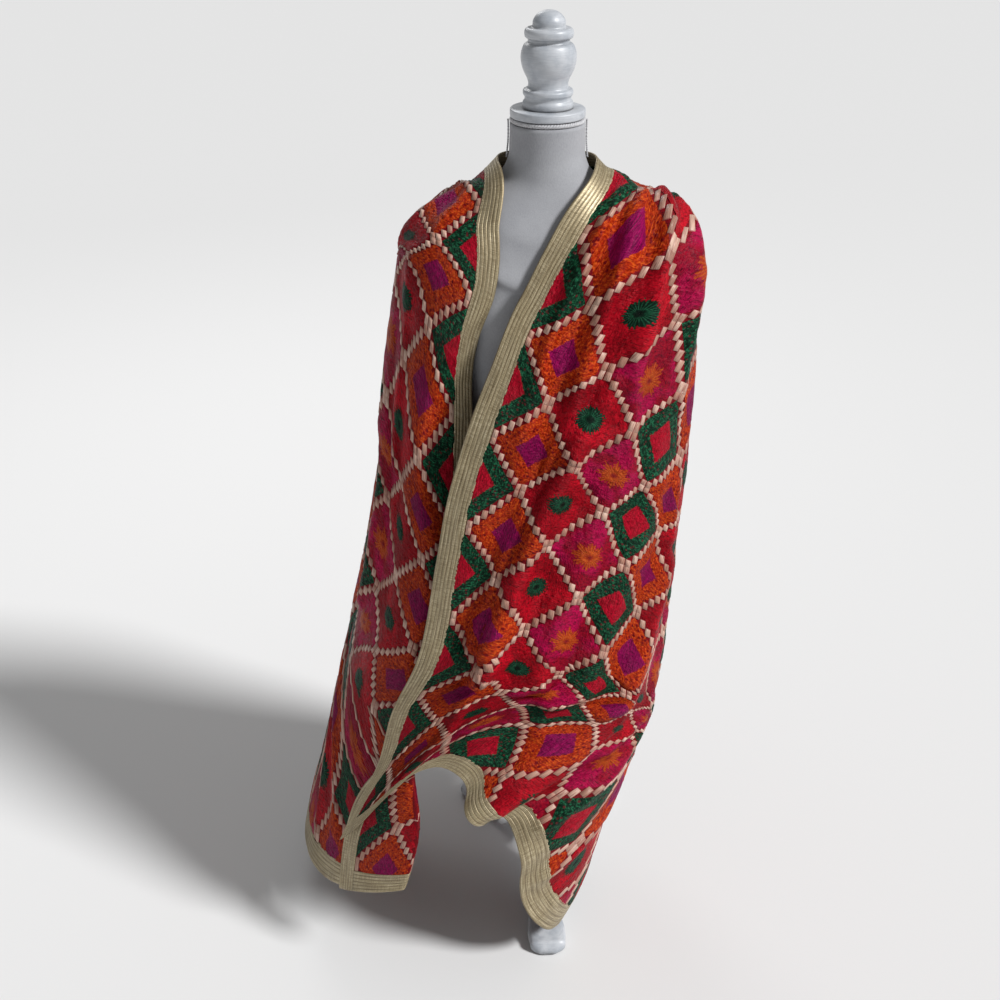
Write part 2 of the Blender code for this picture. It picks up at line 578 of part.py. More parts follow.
def form_surface(angles):
    """Rings of the dress form from the neck down."""
    rings = [ring_point(angles, np.array(row[:-1]), row[-1]) for row in NECK_RINGS]
    for level in SHOULDER_LEVELS:
        levels = np.full(len(angles), level)
        out = guide_outward(angles, levels)
        rings.append(guide_point(angles, levels) - out * FORM_GAP)
    rings += [ring_point(angles, np.array(row[:-1]), row[-1]) for row in BODY_RINGS]
    return rings


def build_form(collection):
    angles = np.arange(FORM_SIDES) * 360.0 / FORM_SIDES
    lofted_body("dress_form", form_surface(angles), "jersey", collection)
    plate = [(0.0, PLATE_TOP), (PLATE_RADIUS - 0.0015, PLATE_TOP), (PLATE_RADIUS, PLATE_TOP - 0.0015),
             (PLATE_RADIUS, PLATE_BOTTOM), (0.0, PLATE_BOTTOM)]
    lathe_body("neck_plate", plate, "paint", collection)
    lathe_body("finial", FINIAL_PROFILE, "paint", collection)
    bpy.ops.mesh.primitive_torus_add(major_radius=CORD_RING, minor_radius=CORD_RADIUS,
                                     major_segments=32, minor_segments=6,
                                     location=(0, 0, CORD_HEIGHT))
    cord = bpy.context.object
    cord.name = "neck_cord"
    cord.data.name = "neck_cord"
    for owner in list(cord.users_collection):
        owner.objects.unlink(cord)
    collection.objects.link(cord)
    cord.data.materials.append(finish_material("neck_cord", "cord"))
    for name, side in (("side_cord_left", -1), ("side_cord_right", 1)):
        path = [(side * (CORD_RING + CORD_RADIUS + SEAM + SIDE_CORD_RADIUS), 0, CORD_HEIGHT)]
        path += [(side * (radius + SEAM + SIDE_CORD_RADIUS * 1.15), 0, height)
                 for radius, height in SIDE_CORD_SEATS]
        lofted_body(name, tube_rings(path, SIDE_CORD_RADIUS, 8), "cord", collection)


def build_stand(collection):
    pole = [(0.0, POLE_TOP), (POLE_RADIUS, POLE_TOP), (POLE_RADIUS, POLE_BOTTOM), (0.0, POLE_BOTTOM)]
    lathe_body("stand_pole", pole, "paint", collection, 20)
    lathe_body("stand_hub", HUB_PROFILE, "paint", collection, 24)
    for name, foot in LEG_FEET.items():
        foot = np.array(foot)
        length = np.linalg.norm(foot)
        ahead = foot / length
        aside = np.array([ahead[1], -ahead[0]])
        rings = []
        for share, half_width, under, top in LEG_SECTIONS:
            reach = max(share * length, LEG_ROOT)
            high = top - under
            # half section: underside corner, flank, shoulder
            outline = [(-0.85, 0.0), (0.85, 0.0), (1.0, 0.25), (0.92, 0.70), (0.55, 1.0),
                       (-0.55, 1.0), (-0.92, 0.70), (-1.0, 0.25)]
            ring = []
            for wide, share_up in outline:
                spot = ahead * reach + aside * wide * half_width
                ring.append((spot[0], spot[1], under + share_up * high))
            rings.append(ring)
        lofted_body(name, rings, "paint", collection)


def settle(collection):
    """Put the origin under the middle of the whole model, on the floor."""
    corners = np.concatenate([np.array([thing.matrix_world @ v.co for v in thing.data.vertices])
                              for thing in collection.objects])
    low, high = corners.min(axis=0), corners.max(axis=0)
    shift = np.array([(low[0] + high[0]) / 2, (low[1] + high[1]) / 2, low[2]])
    for thing in collection.objects:
        place = np.array(thing.location)
        for vertex in thing.data.vertices:
            vertex.co = [float(c) for c in np.array(vertex.co) + place - shift]
        thing.location = (0, 0, 0)


def build():
    clear_scene()
    part = new_collection(NAME)
    new_collection(CUTTERS)
    build_shawl(part)
    build_form(part)
    build_stand(part)
    settle(part)


build()
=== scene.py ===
"""Looks of the embroidered shawl wrap: cloth, stitching, ribbon, dress form and stand.

Metres, +Z up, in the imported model's own frame. The shawl is one cloth with cloth coordinates:
s runs along the long edge from the nape, positive on the wearer's left, and t runs across from
the edge round the neck. Tables leave out the 0 before a point.
"""
import itertools
import math

import bmesh
import bpy
import numpy as np
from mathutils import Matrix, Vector


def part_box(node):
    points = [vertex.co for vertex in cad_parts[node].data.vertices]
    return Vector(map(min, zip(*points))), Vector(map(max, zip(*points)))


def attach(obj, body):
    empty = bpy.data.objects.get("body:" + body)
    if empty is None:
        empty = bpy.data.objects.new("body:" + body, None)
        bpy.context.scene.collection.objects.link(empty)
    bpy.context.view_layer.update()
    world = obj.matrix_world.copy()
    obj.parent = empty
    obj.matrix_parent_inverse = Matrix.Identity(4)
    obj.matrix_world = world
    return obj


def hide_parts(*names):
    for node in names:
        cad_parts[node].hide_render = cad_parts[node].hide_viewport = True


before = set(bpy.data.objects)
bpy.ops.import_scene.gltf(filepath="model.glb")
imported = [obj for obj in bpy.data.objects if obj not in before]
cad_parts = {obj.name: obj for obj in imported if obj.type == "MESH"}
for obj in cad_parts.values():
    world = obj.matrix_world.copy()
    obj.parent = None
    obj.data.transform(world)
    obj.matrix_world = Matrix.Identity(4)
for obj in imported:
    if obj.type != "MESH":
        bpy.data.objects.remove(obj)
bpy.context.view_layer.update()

BODY = "root"

# The pole's axis is the middle of the drape, and all shapes below are given about it.
pole_low, pole_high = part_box("stand_pole")
PLACE = np.array([(pole_low.x + pole_high.x) / 2, (pole_low.y + pole_high.y) / 2, 0.0])

# Sizes of the cloth
CLOTH_LENGTH = 2.50          # along the edge that goes round the neck
CLOTH_WIDTH = 1.00           # across it
TRIM_WIDTH = 0.033           # ribbon sewn on all four edges
END, FAR = CLOTH_LENGTH / 2, CLOTH_WIDTH    # the last s and t of the cloth
SEAM = 0.0003                # clearance between neighbouring pieces
SHOULDER_LIFT = 0.004        # cloth above the guide surface where it rests on the form
FOLD_RADIUS = 0.0045         # roundness of the turned-back corner
EDGE_LEAN = 50               # degrees the hidden front edge leans in behind the other front
LIFT_FADE = 0.40             # way from an edge in which its own lift ends
LEAST_EDGE = 0.0005          # narrower hidden edges and lapels are left out
LAPEL_EASE = 0.03            # width in which an edge leans in or a lapel's fold begins
WALK_STEP = 0.01             # step along a thread
LEAST_FREE = 0.05            # shortest free end of a thread
LEAST_PACE = 0.2             # least share of a step, squared, that a fold leaves for the way on
ARRIVE = (0.6, 1.0)          # share of its mean course round and down at which a free end arrives

# Rings of the guide surface that the cloth hangs over, from the neck down.
# Heights at the sides, front and back; centre; half widths and depths.
# side_z, front_z, back_z, centre_x,  left, right, front,  back
GUIDE_RINGS = [
    (1.292, 1.275, 1.286,  .000, .066, .066, .068, .068),
    (1.248, 1.212, 1.240,  .000, .110, .112, .098, .092),
    (1.218, 1.150, 1.190,  .004, .165, .172, .122, .112),
    (1.185, 1.090, 1.130,  .006, .197, .202, .142, .130),
    (1.120, 1.030, 1.060,  .005, .209, .208, .160, .142),
    ( .990,  .930,  .950, -.005, .218, .217, .188, .155),
    ( .800,  .790,  .790, -.025, .227, .228, .222, .170),
    ( .620,  .620,  .620, -.045, .240, .244, .250, .185),
    ( .440,  .440,  .440, -.065, .258, .246, .275, .200),
    ( .260,  .260,  .260, -.090, .281, .228, .300, .210),
    ( .060,  .060,  .060, -.120, .300, .200, .325, .215),
    (-.150, -.150, -.150, -.150, .300, .170, .350, .220),
]
SQUARENESS = 2.35            # 2 is an ellipse, more is squarer

# How the cloth leaves its neck edge. Each row is a thread across the cloth, s metres from the
# nape. It starts at an angle round the guide (0 front, 90 side, 180 back) and a ring number,
# and heads off at so many degrees below level at each distance in HEADING_AT. After the
# distance free it hangs to its far end. tucked is the width that leans in behind the other
# front, lapel the width turned back outward, lift the height over the guide at the edge.
HEADING_AT = (0.0, 0.10, 0.20, 0.26, 0.33, 0.40, 0.47, 0.56, 0.75)
#    s, angle, ring, tucked, lapel, lift, headings at HEADING_AT ..., free, end_angle, end_z
RIGHT_THREADS = [
    ( .000, 180,  .00, 0, 0, .004,  90,  90,  90, 90,  90, 90, 90, 90, 90, .30, 180, .300),
    ( .070, 126,  .00, 0, 0, .004,  80,  75,  73, 72,  74, 78, 81, 84, 88, .30, 167, .300),
    ( .140,  70,  .00, 0, 0, .005,  66,  64,  64, 66,  68, 71, 75, 80, 86, .30, 155, .305),
    ( .205,  26,  .37, 0, 0, .008,  44,  48,  52, 55,  58, 63, 67, 72, 82, .35, 146, .305),
    ( .280,  -3, 1.29, 0, 0, .012,  36,  41,  47, 51,  56, 61, 65, 70, 80, .38, 138, .300),
    ( .355, -19, 2.44, 0, 0, .014,  24,  33,  43, 50,  56, 60, 64, 68, 76, .42, 131, .290),
    ( .460, -28, 4.14, 0, 0, .016,  10,  23,  38, 48,  56, 60, 63, 66, 74, .45, 123, .270),
    ( .620, -32, 5.47, 0, 0, .016,   0,  11,  24, 34,  43, 51, 57, 62, 70, .48, 112, .235),
    ( .745, -31, 6.21, 0, 0, .016,  -2,   9,  21, 29,  38, 46, 52, 57, 66, .50, 103, .205),
    ( .900, -31, 7.13, 0, 0, .018, -10,   0,  16, 30,  38, 44, 50, 57, 60, .54,  93, .180),
    (1.005, -36, 7.68, 0, 0, .022, -28, -20,   0, 26,  32, 40, 50, 60, 60, .60,  84, .155),
    (1.100, -37, 8.22, 0, 0, .025, -42, -44, -24, 22,  42, 32, 52, 66, 50, .66,  74, .120),
    (1.180, -41, 8.70, 0, 0, .026, -49, -55, -44, 10,  80, 10, 66, 84, 46, .70,  63, .090),
    (1.250, -44, 9.12, 0, 0, .027, -52, -62, -54, -4, 106, -4, 74, 94, 40, .70,  54, .075),
]
LEFT_THREADS = [
    ( .000, 180,  .00, .000, .000, .004,  90,  90,  90, 90, 90, 90, 90, 90, 90, .30, 180, .300),
    ( .070, 126,  .00, .000, .000, .004,  80,  75,  73, 72, 74, 78, 82, 86, 88, .30, 168, .300),
    ( .150,  54,  .10, .000, .000, .004,  52,  48,  50, 56, 62, 70, 76, 82, 86, .33, 162, .300),
    ( .225,  37, 1.15, .000, .000, .004,  22,  34,  44, 54, 64, 72, 74, 78, 84, .33, 156, .290),
    ( .310,  38, 2.57, .020, .000, .004,   0,  16,  38, 52, 64, 73, 78, 78, 82, .33, 150, .280),
    ( .380,  46, 3.79, .045, .000, .004, -17,   0,  26, 47, 64, 76, 78, 78, 78, .33, 146, .270),
    ( .500,  52, 4.98, .090, .000, .004, -22,  -8,  20, 46, 70, 78, 76, 76, 72, .33, 141, .250),
    ( .715,  37, 6.35, .090, .000, .004, -30, -26, -12, 16, 54, 70, 70, 64, 62, .33, 133, .210),
    ( .890,  36, 7.30, .090, .000, .004, -26, -22, -10, 12, 42, 60, 60, 54, 48, .33, 127, .175),
    (1.000,  28, 8.00, .000, .000, .004, -18, -14,  -6,  6, 28, 42, 46, 42, 34, .33, 122, .150),
    (1.045,  26, 8.26, .000, .055, .004,  -9,  -6,  -2,  6, 21, 33, 38, 33, 28, .33, 120, .135),
    (1.110,  22, 8.62, .000, .120, .004,   4,   4,   4,  6, 12, 20, 26, 20, 18, .33, 117, .115),
    (1.250,  22, 9.34, .000, .140, .004,  26,  24,  18, 12,  8,  8,  8, 10,  6, .33, 110, .080),
]

# Largest folds, as soft ridges (height above 0) and troughs between two points of the cloth.
# from_s, from_t, to_s, to_t, half_width, from_height, to_height
RIGHT_FOLDS = [
    ( .14, .040,  .30, .260, .020,  .008,  .006),    # gathers that fan out from the neck
    ( .16, .050,  .34, .170, .018,  .007,  .005),
    ( .12, .080,  .20, .320, .022,  .007,  .004),
    ( .40, .165,  .90, .100, .030,  .004,  .018),    # slanting pleat over the front
    ( .42, .115,  .86, .055, .018, -.003, -.012),    # and the furrow beside it
    ( .35, .420,  .85, .380, .040,  .009,  .009),    # upright fold near the side
    ( .80, .360, 1.00, .330, .026,  .004,  .012),
    (1.00, .240, 1.27, .250, .026,  .000, -.008),    # hem: arch, bulb, flat, tail
    ( .98, .340, 1.27, .370, .034,  .002,  .034),
    (1.00, .430, 1.27, .440, .026, -.002, -.014),
    ( .90, .500, 1.27, .520, .034,  .004,  .011),
    (1.00, .620, 1.27, .630, .035,  .000, -.008),
]
LEFT_FOLDS = [
    (.20, .18, .60, .22, .030,  .007,  .007),
    (.45, .15, .95, .19, .026, -.006, -.006),
]
# The far edge has more length than its way round needs, so it hangs in soft uneven pleats.
PLEAT = 0.020                # height of the pleats at the far edge
PLEAT_PITCH = 0.20           # cloth taken by one pleat
PLEAT_FROM = 0.48            # where they begin across the cloth
PLEAT_GROWTH = 0.42          # way in which they reach their full height
PLEAT_DRIFT = (0.55, 0.8)    # length and size of the unevenness of their spacing
PLEAT_SWAY = (0.37, 0.25)    # length and share of the unevenness of their height
PLEAT_CALM = (0.95, 0.25, 0.7)    # from this s, over this way, they lose this share of their height

# Dress form and stand
FORM_GAP = 0.0006            # form below the guide surface at the shoulders
# side_z, front_z, back_z, centre_x, left, right, front, back, squareness
NECK_RINGS = [
    (1.3520, 1.3520, 1.3520, 0, .0460, .0460, .0460, .0460, 2.0),
    (1.3447, 1.3447, 1.3447, 0, .0460, .0460, .0460, .0460, 2.0),
    (1.3447, 1.3447, 1.3447, 0, .0525, .0525, .0525, .0525, 2.0),
    (1.3200, 1.3180, 1.3200, 0, .0530, .0530, .0530, .0530, 2.0),
    (1.2960, 1.2860, 1.2960, 0, .0550, .0550, .0550, .0540, 2.0),
    (1.2740, 1.2560, 1.2700, 0, .0680, .0680, .0640, .0620, 2.1),
]
SHOULDER_LEVELS = (1.0, 1.4, 1.8, 2.2)
BODY_RINGS = [
    (1.196, 1.120, 1.155, .004, .180, .186, .124, .114, 2.35),
    (1.160, 1.075, 1.110, .004, .188, .190, .129, .117, 2.35),
    (1.100, 1.030, 1.060, .000, .182, .182, .133, .115, 2.30),
    (1.000,  .970,  .980, .000, .160, .160, .130, .105, 2.25),
    ( .880,  .880,  .880, .000, .134, .134, .106, .093, 2.20),
    ( .800,  .800,  .800, .000, .140, .140, .106, .098, 2.20),
    ( .700,  .700,  .700, .000, .162, .162, .118, .113, 2.20),
    ( .630,  .630,  .630, .000, .170, .170, .120, .117, 2.20),
    ( .600,  .600,  .600, .000, .168, .168, .118, .115, 2.20),
]
PLATE_RADIUS = 0.0525
PLATE_BOTTOM = 1.3523
PLATE_TOP = 1.3640
CORD_RADIUS = 0.0034         # braided cord that lies under the plate
CORD_RING = 0.0500
CORD_HEIGHT = 1.3485
SIDE_CORD_RADIUS = 0.0013    # thinner cords down the side seams of the neck
# radius, height of the neck where a side cord lies on it
SIDE_CORD_SEATS = ((0.0527, 1.3400), (0.0530, 1.3200), (0.0540, 1.3080), (0.0551, 1.2962))
# radius, height of the turned finial, top to bottom
FINIAL_PROFILE = [
    (.0000, 1.4920), (.0095, 1.4905), (.0170, 1.4860), (.0220, 1.4785), (.0235, 1.4700),
    (.0300, 1.4692), (.0330, 1.4660), (.0335, 1.4620), (.0325, 1.4575), (.0290, 1.4550),
    (.0285, 1.4520), (.0335, 1.4480), (.0368, 1.4410), (.0382, 1.4320), (.0370, 1.4220),
    (.0335, 1.4120), (.0290, 1.4030), (.0275, 1.3960), (.0290, 1.3910), (.0340, 1.3890),
    (.0345, 1.3830), (.0325, 1.3800), (.0325, 1.3760), (.0345, 1.3730), (.0350, 1.3643),
    (.0000, 1.3643),
]
POLE_RADIUS = 0.014
POLE_TOP = 0.5997
POLE_BOTTOM = 0.1103
# radius, height of the hub that holds the three legs
HUB_PROFILE = [(0.0, 0.1100), (0.020, 0.1100), (0.026, 0.1040), (0.026, 0.0560), (0.0, 0.0560)]
# foot_x, foot_y of each leg; the front one shows under the hem
LEG_FEET = {
    "stand_leg_front": (.017, -.262),
    "stand_leg_left": (-.125, .170),
    "stand_leg_right": (.140, .170),
}
# share of the way from hub to foot, half width, underside height, top height
LEG_SECTIONS = [
    ( .000, .012, .066, .100),
    ( .300, .016, .036, .062),
    ( .500, .021, .010, .036),
    ( .650, .026, .002, .028),
    ( .750, .030, .000, .026),
    ( .920, .031, .000, .025),
    ( .975, .026, .000, .021),
    (1.000, .014, .002, .013),
]
LEG_ROOT = 0.0262            # legs start just outside the hub


# Curves and the guide surface
def ease(x):
    x = np.clip(x, 0, 1)
    return x * x * (3 - 2 * x)


def unit(vectors):
    return vectors / np.linalg.norm(vectors, axis=-1, keepdims=True)


def running(steps):
    """Running total of the steps, from 0."""
    return np.concatenate([[0], np.cumsum(steps)])


def smooth_curve(at, values):
    """A smooth curve through rows of values: returns places, rows and slopes."""
    at, values = np.asarray(at, float), np.asarray(values, float)
    step = np.diff(at)[:, None]
    rate = np.diff(values, axis=0) / step
    slope = np.empty_like(values)
    slope[1:-1] = (rate[:-1] * step[1:] + rate[1:] * step[:-1]) / (step[:-1] + step[1:])
    slope[0] = 1.5 * rate[0] - 0.5 * slope[1]
    slope[-1] = 1.5 * rate[-1] - 0.5 * slope[-2]
    return at, values, slope


def read_curve(curve, x):
    """Rows of the curve at x, held level beyond its ends."""
    at, values, slope = curve
    x = np.clip(np.asarray(x, float), at[0], at[-1])
    i = np.clip(np.searchsorted(at, x, side="right") - 1, 0, len(at) - 2)
    step = (at[i + 1] - at[i])[..., None]
    u = (x - at[i])[..., None] / step
    bend = (1 - u) * slope[i] - u * slope[i + 1]
    return (1 - ease(u)) * values[i] + ease(u) * values[i + 1] + step * u * (1 - u) * bend


GUIDE = smooth_curve(np.arange(len(GUIDE_RINGS)), GUIDE_RINGS)
LAST_RING = len(GUIDE_RINGS) - 1


def ring_point(angle, ring, squareness):
    """Points of a ring row (side_z, front_z, ...) at angles in degrees."""
    side_z, front_z, back_z, centre, left, right, front, back = np.moveaxis(ring, -1, 0)
    turn = np.radians(angle)
    across, ahead = np.sin(turn), np.cos(turn)
    half = np.where(across > 0, right, left)
    deep = np.where(ahead > 0, front, back)
    end_z = np.where(ahead > 0, front_z, back_z)
    power = np.abs(across / half) ** squareness + np.abs(ahead / deep) ** squareness
    reach = power ** (-1 / squareness)
    height = side_z * across ** 2 + end_z * ahead ** 2
    return np.stack([centre + reach * across, -reach * ahead, height], -1)


def guide_point(angle, ring):
    return ring_point(angle, read_curve(GUIDE, ring), SQUARENESS)


def guide_slopes(angle, ring):
    """How the guide point moves per degree and per ring."""
    small = 1e-3
    ring = np.clip(ring, small, LAST_RING - small)
    turned = guide_point(angle + 50 * small, ring) - guide_point(angle - 50 * small, ring)
    lowered = guide_point(angle, ring + small) - guide_point(angle, ring - small)
    return turned / (100 * small), lowered / (2 * small)


def guide_outward(angle, ring):
    turned, lowered = guide_slopes(angle, ring)
    return unit(np.cross(lowered, turned))


def ring_at(height):
    """Ring number of a height, read down the sides."""
    heights = [-row[0] for row in GUIDE_RINGS]
    return np.interp(-height, heights, np.arange(len(heights)))


# The draped cloth
def fold_height(folds, s, t):
    total = np.zeros(np.broadcast(s, t).shape)
    for from_s, from_t, to_s, to_t, half_width, from_height, to_height in folds:
        along_s, along_t = to_s - from_s, to_t - from_t
        way = ((s - from_s) * along_s + (t - from_t) * along_t) / (along_s ** 2 + along_t ** 2)
        way = np.clip(way, 0, 1)
        away = (s - from_s - way * along_s) ** 2 + (t - from_t - way * along_t) ** 2
        height = from_height + (to_height - from_height) * way
        total = total + height * np.exp(-away / half_width ** 2)
    return total


def pleat_height(s, t, side):
    (length, size), (sway, share), (begin, over, lost) = PLEAT_DRIFT, PLEAT_SWAY, PLEAT_CALM
    phase = 2 * np.pi * s / PLEAT_PITCH + side * size * np.sin(2 * np.pi * s / length)
    depth = PLEAT * (1 - lost * ease((s - begin) / over)) * (1 - share * np.sin(2 * np.pi * s / sway))
    return depth * np.cos(phase) * ease((t - PLEAT_FROM) / PLEAT_GROWTH)


class Threads:
    """The rows of a threads table, read at every station s."""

    def __init__(self, table, s):
        rows = read_curve(smooth_curve([row[0] for row in table], [row[1:] for row in table]), s).T
        self.angle, self.lift = rows[0], rows[4]
        self.ring, self.tucked, self.lapel = np.maximum(rows[1:4], 0)
        self.headings = rows[5:-3].T
        self.free, self.end_angle, self.end_z = rows[-3:]
        self.start = self.tucked + self.lapel


def walk_threads(rows, folds, s, side, step=WALK_STEP):
    """Walk every thread over the guide; returns (angle, ring) after each step."""
    angle, ring = rows.angle.copy(), rows.ring.copy()
    path = [np.stack([angle, ring], -1)]
    for k in range(round(CLOTH_WIDTH / step)):
        at = (k + 0.5) * step
        heading = np.radians([np.interp(at, HEADING_AT, row) for row in rows.headings])
        turned, lowered = guide_slopes(angle * side, ring)
        turned = turned * side
        size = np.linalg.norm(turned, axis=-1)
        level = turned / size[:, None]
        slant = (lowered * level).sum(-1)
        fall = np.linalg.norm(lowered - slant[:, None] * level, axis=-1)
        t = np.clip(rows.start + at, 0, CLOTH_WIDTH)
        rise = (fold_height(folds, s, t + step / 2) - fold_height(folds, s, t - step / 2)) / step
        pace = step * np.sqrt(np.maximum(1 - rise ** 2, LEAST_PACE))
        down = pace * np.sin(heading) / fall
        angle = angle + (pace * np.cos(heading) - down * slant) / size
        ring = np.clip(ring + down, 0, LAST_RING)
        path.append(np.stack([angle, ring], -1))
    return np.array(path).swapaxes(0, 1)


def hang(path, rows, i, way, step=WALK_STEP):
    """Angle and ring of thread i at distances way from its start, free end included."""
    end = CLOTH_WIDTH - rows.start[i]
    k = int(min(rows.free[i], end - LEAST_FREE) / step)
    leave, speed = path[i, k], (path[i, k] - path[i, k - 2]) / (2 * step)
    goal = np.array([rows.end_angle[i], ring_at(rows.end_z[i])])
    span = end - k * step
    arrive = (goal - leave) / span * ARRIVE
    u = np.clip((way - k * step) / span, 0, 1)[:, None]
    free = (1 - ease(u)) * leave + ease(u) * goal
    free = free + span * u * (1 - u) * ((1 - u) * speed - u * arrive)
    walked = np.stack([np.interp(way, np.arange(len(path[i])) * step, path[i, :, c])
                       for c in (0, 1)], -1)
    return np.where((way > k * step)[:, None], free, walked)


def turn_back(arc):
    """Way along the cloth and height over it for a fold at arc 0, turned back below it."""
    quarter = np.pi / 2 * FOLD_RADIUS
    bend = np.clip(arc / FOLD_RADIUS, -np.pi / 2, np.pi / 2)
    way = np.where(np.abs(arc) > quarter, np.abs(arc) - quarter, 0)
    return way, FOLD_RADIUS * (1 - np.sin(bend))


def lean_in(points, start, t, hinge, flat, out):
    """Swing the edge (t below start) in behind the cloth about its hinge line."""
    fine = np.linspace(0, start, 40)
    lean = np.radians(EDGE_LEAN) * ease(fine / LAPEL_EASE)
    ahead, inward = (running(share(lean[1:]) * np.diff(fine)) for share in (np.cos, np.sin))
    edge = t < start
    way = start - t[edge]
    points[edge] = (hinge + np.interp(way, fine, ahead)[:, None] * flat
                    - np.interp(way, fine, inward)[:, None] * out)
    return points


def drape(table, folds, side, s, t):
    """Points of one half of the shawl at stations s and t."""
    rows = Threads(table, s)
    path = walk_threads(rows, folds, s, side)
    cloth = np.empty((len(s), len(t), 3))

    def on_guide(i, way, lift):
        place = hang(path, rows, i, way)
        out = guide_outward(place[:, 0] * side, place[:, 1])
        return guide_point(place[:, 0] * side, place[:, 1]) + out * lift[:, None], out

    for i, start in enumerate(rows.start):
        lift = SHOULDER_LIFT + (rows.lift[i] - SHOULDER_LIFT) * np.exp(-(t / LIFT_FADE) ** 2)
        lift = lift + fold_height(folds, s[i], t) + pleat_height(s[i], t, side)
        has_lapel = rows.lapel[i] > LEAST_EDGE
        way, back = turn_back(t - start) if has_lapel else (np.maximum(t - start, 0), 0)
        cloth[i], _ = on_guide(i, way, lift + back)
        if start > LEAST_EDGE and not has_lapel:
            edge_lift = SHOULDER_LIFT + fold_height(folds, s[i], np.array([start, start]))
            near, out = on_guide(i, np.array([0.0, 0.01]), edge_lift)
            cloth[i] = lean_in(cloth[i], start, t, near[0], unit(near[0] - near[1]), out[0])
    return cloth


# The cloth as it is seen
DENSE_STEP = 0.0025          # spacing of the dense grid that every piece of the cloth is read from
GROUND_HALF = 0.0003         # half the thickness of the ground cloth
CLOTH_HALF = 0.0005          # the same with the stitches that lie in it
CRUMPLES = ((0.120, 0.0016), (0.050, 0.0010), (0.021, 0.0004))    # size and height of its softness
SMOOTH_NECK = 0.12           # width beside the neck edge in which the softness begins
CREASE_FROM, CREASE_FADE = 0.030, 0.020    # where the creases begin beside that edge, and their way in
NAPE_BLEND = 0.02            # way from the nape in which the creases of one side end

# Creases laid over the main folds, as in the tables of the largest folds.
# from_s, from_t, to_s, to_t, half_width, from_height, to_height
RIGHT_CREASES = [
    (.185, .050,  .60, .080, .0120,  .013,  .006),    # gathers fan from the neck over the chest
    (.195, .086,  .52, .145, .0140,  .018,  .008),
    (.185, .124,  .47, .215, .0150,  .017,  .009),
    (.175, .160,  .40, .290, .0150,  .013,  .008),
    (.220, .052,  .42, .070, .0075,  .009,  .004),    # their sharp crests
    (.240, .101,  .42, .134, .0080,  .011,  .005),
    (.225, .138,  .40, .192, .0085,  .011,  .005),
    (.250, .205,  .34, .256, .0085,  .003,  .004),
    (.330, .098,  .60, .110, .0110, -.003, -.006),    # troughs between them
    (.360, .142,  .58, .190, .0120, -.004, -.006),
    (.340, .215,  .54, .262, .0140, -.003, -.006),
    (.155, .180,  .28, .350, .0130,  .008,  .004),
    (.125, .130,  .18, .380, .0130,  .005,  .003),
    (.320, .330,  .60, .365, .0170,  .005,  .011),
    (.400, .168,  .92, .100, .0130,  .013,  .016),    # crest of the slanting pleat
    (.430, .146,  .94, .079, .0075, -.004, -.008),    # furrow beside it
    (.500, .232,  .96, .178, .0160,  .006,  .013),    # slanting drapes over the front
    (.520, .305, 1.00, .250, .0180,  .006,  .014),
    (.640, .385,  .98, .335, .0180,  .010,  .009),
    (.580, .190,  .94, .138, .0120, -.006, -.008),    # troughs between the drapes
    (.560, .268,  .98, .215, .0140, -.006, -.008),
    (.620, .350, 1.00, .295, .0140, -.006, -.008),
    (.700, .470, 1.10, .430, .0190,  .008,  .013),
    (.500, .520,  .98, .560, .0200,  .008,  .011),
    (.980, .110, 1.20, .165, .0130,  .007,  .010),    # around the arch and the bulb
    (.930, .195, 1.12, .300, .0130,  .011,  .007),
    (.990, .385, 1.22, .380, .0130,  .004,  .010),
    (.860, .475, 1.22, .485, .0130,  .008,  .012),
    (.960, .600, 1.22, .590, .0170,  .006,  .010),
    (.300, .620,  .90, .700, .0220,  .007,  .011),    # side and back
    (.100, .480,  .30, .900, .0200,  .006,  .009),
]
LEFT_CREASES = [
    (.160, .055,  .38, .150, .011,  .0070,  .0020),    # gathers at the other shoulder
    (.148, .070,  .31, .240, .012,  .0090,  .0025),
    (.132, .085,  .23, .310, .012,  .0085,  .0025),
    (.118, .095,  .16, .360, .012,  .0070,  .0020),
    (.300, .140,  .62, .175, .013,  .0040,  .0070),
    (.340, .225,  .90, .250, .015,  .0060,  .0100),
    (.360, .185,  .84, .210, .012, -.0040, -.0060),
    (.420, .285, 1.00, .290, .014, -.0050, -.0080),
    (.700, .310, 1.18, .330, .016,  .0040,  .0090),
    (.960, .380, 1.20, .400, .014,  .0040,  .0080),
    (.420, .420, 1.05, .450, .019,  .0050,  .0080),
    (.280, .600,  .95, .640, .019,  .0060,  .0070),
    (.100, .500,  .26, .900, .018,  .0050,  .0070),
    (.040, .080,  .06, .420, .014,  .0060,  .0040),    # from the nape down the back
    (.000, .090,  .01, .600, .015,  .0050,  .0060),
]
SHELL_STEP_S, SHELL_STEP_T = 0.0078, 0.0074
FOLD_EASE, FOLD_CROWD = 0.012, 4    # width beside the turned-back fold with closer rows, and how close

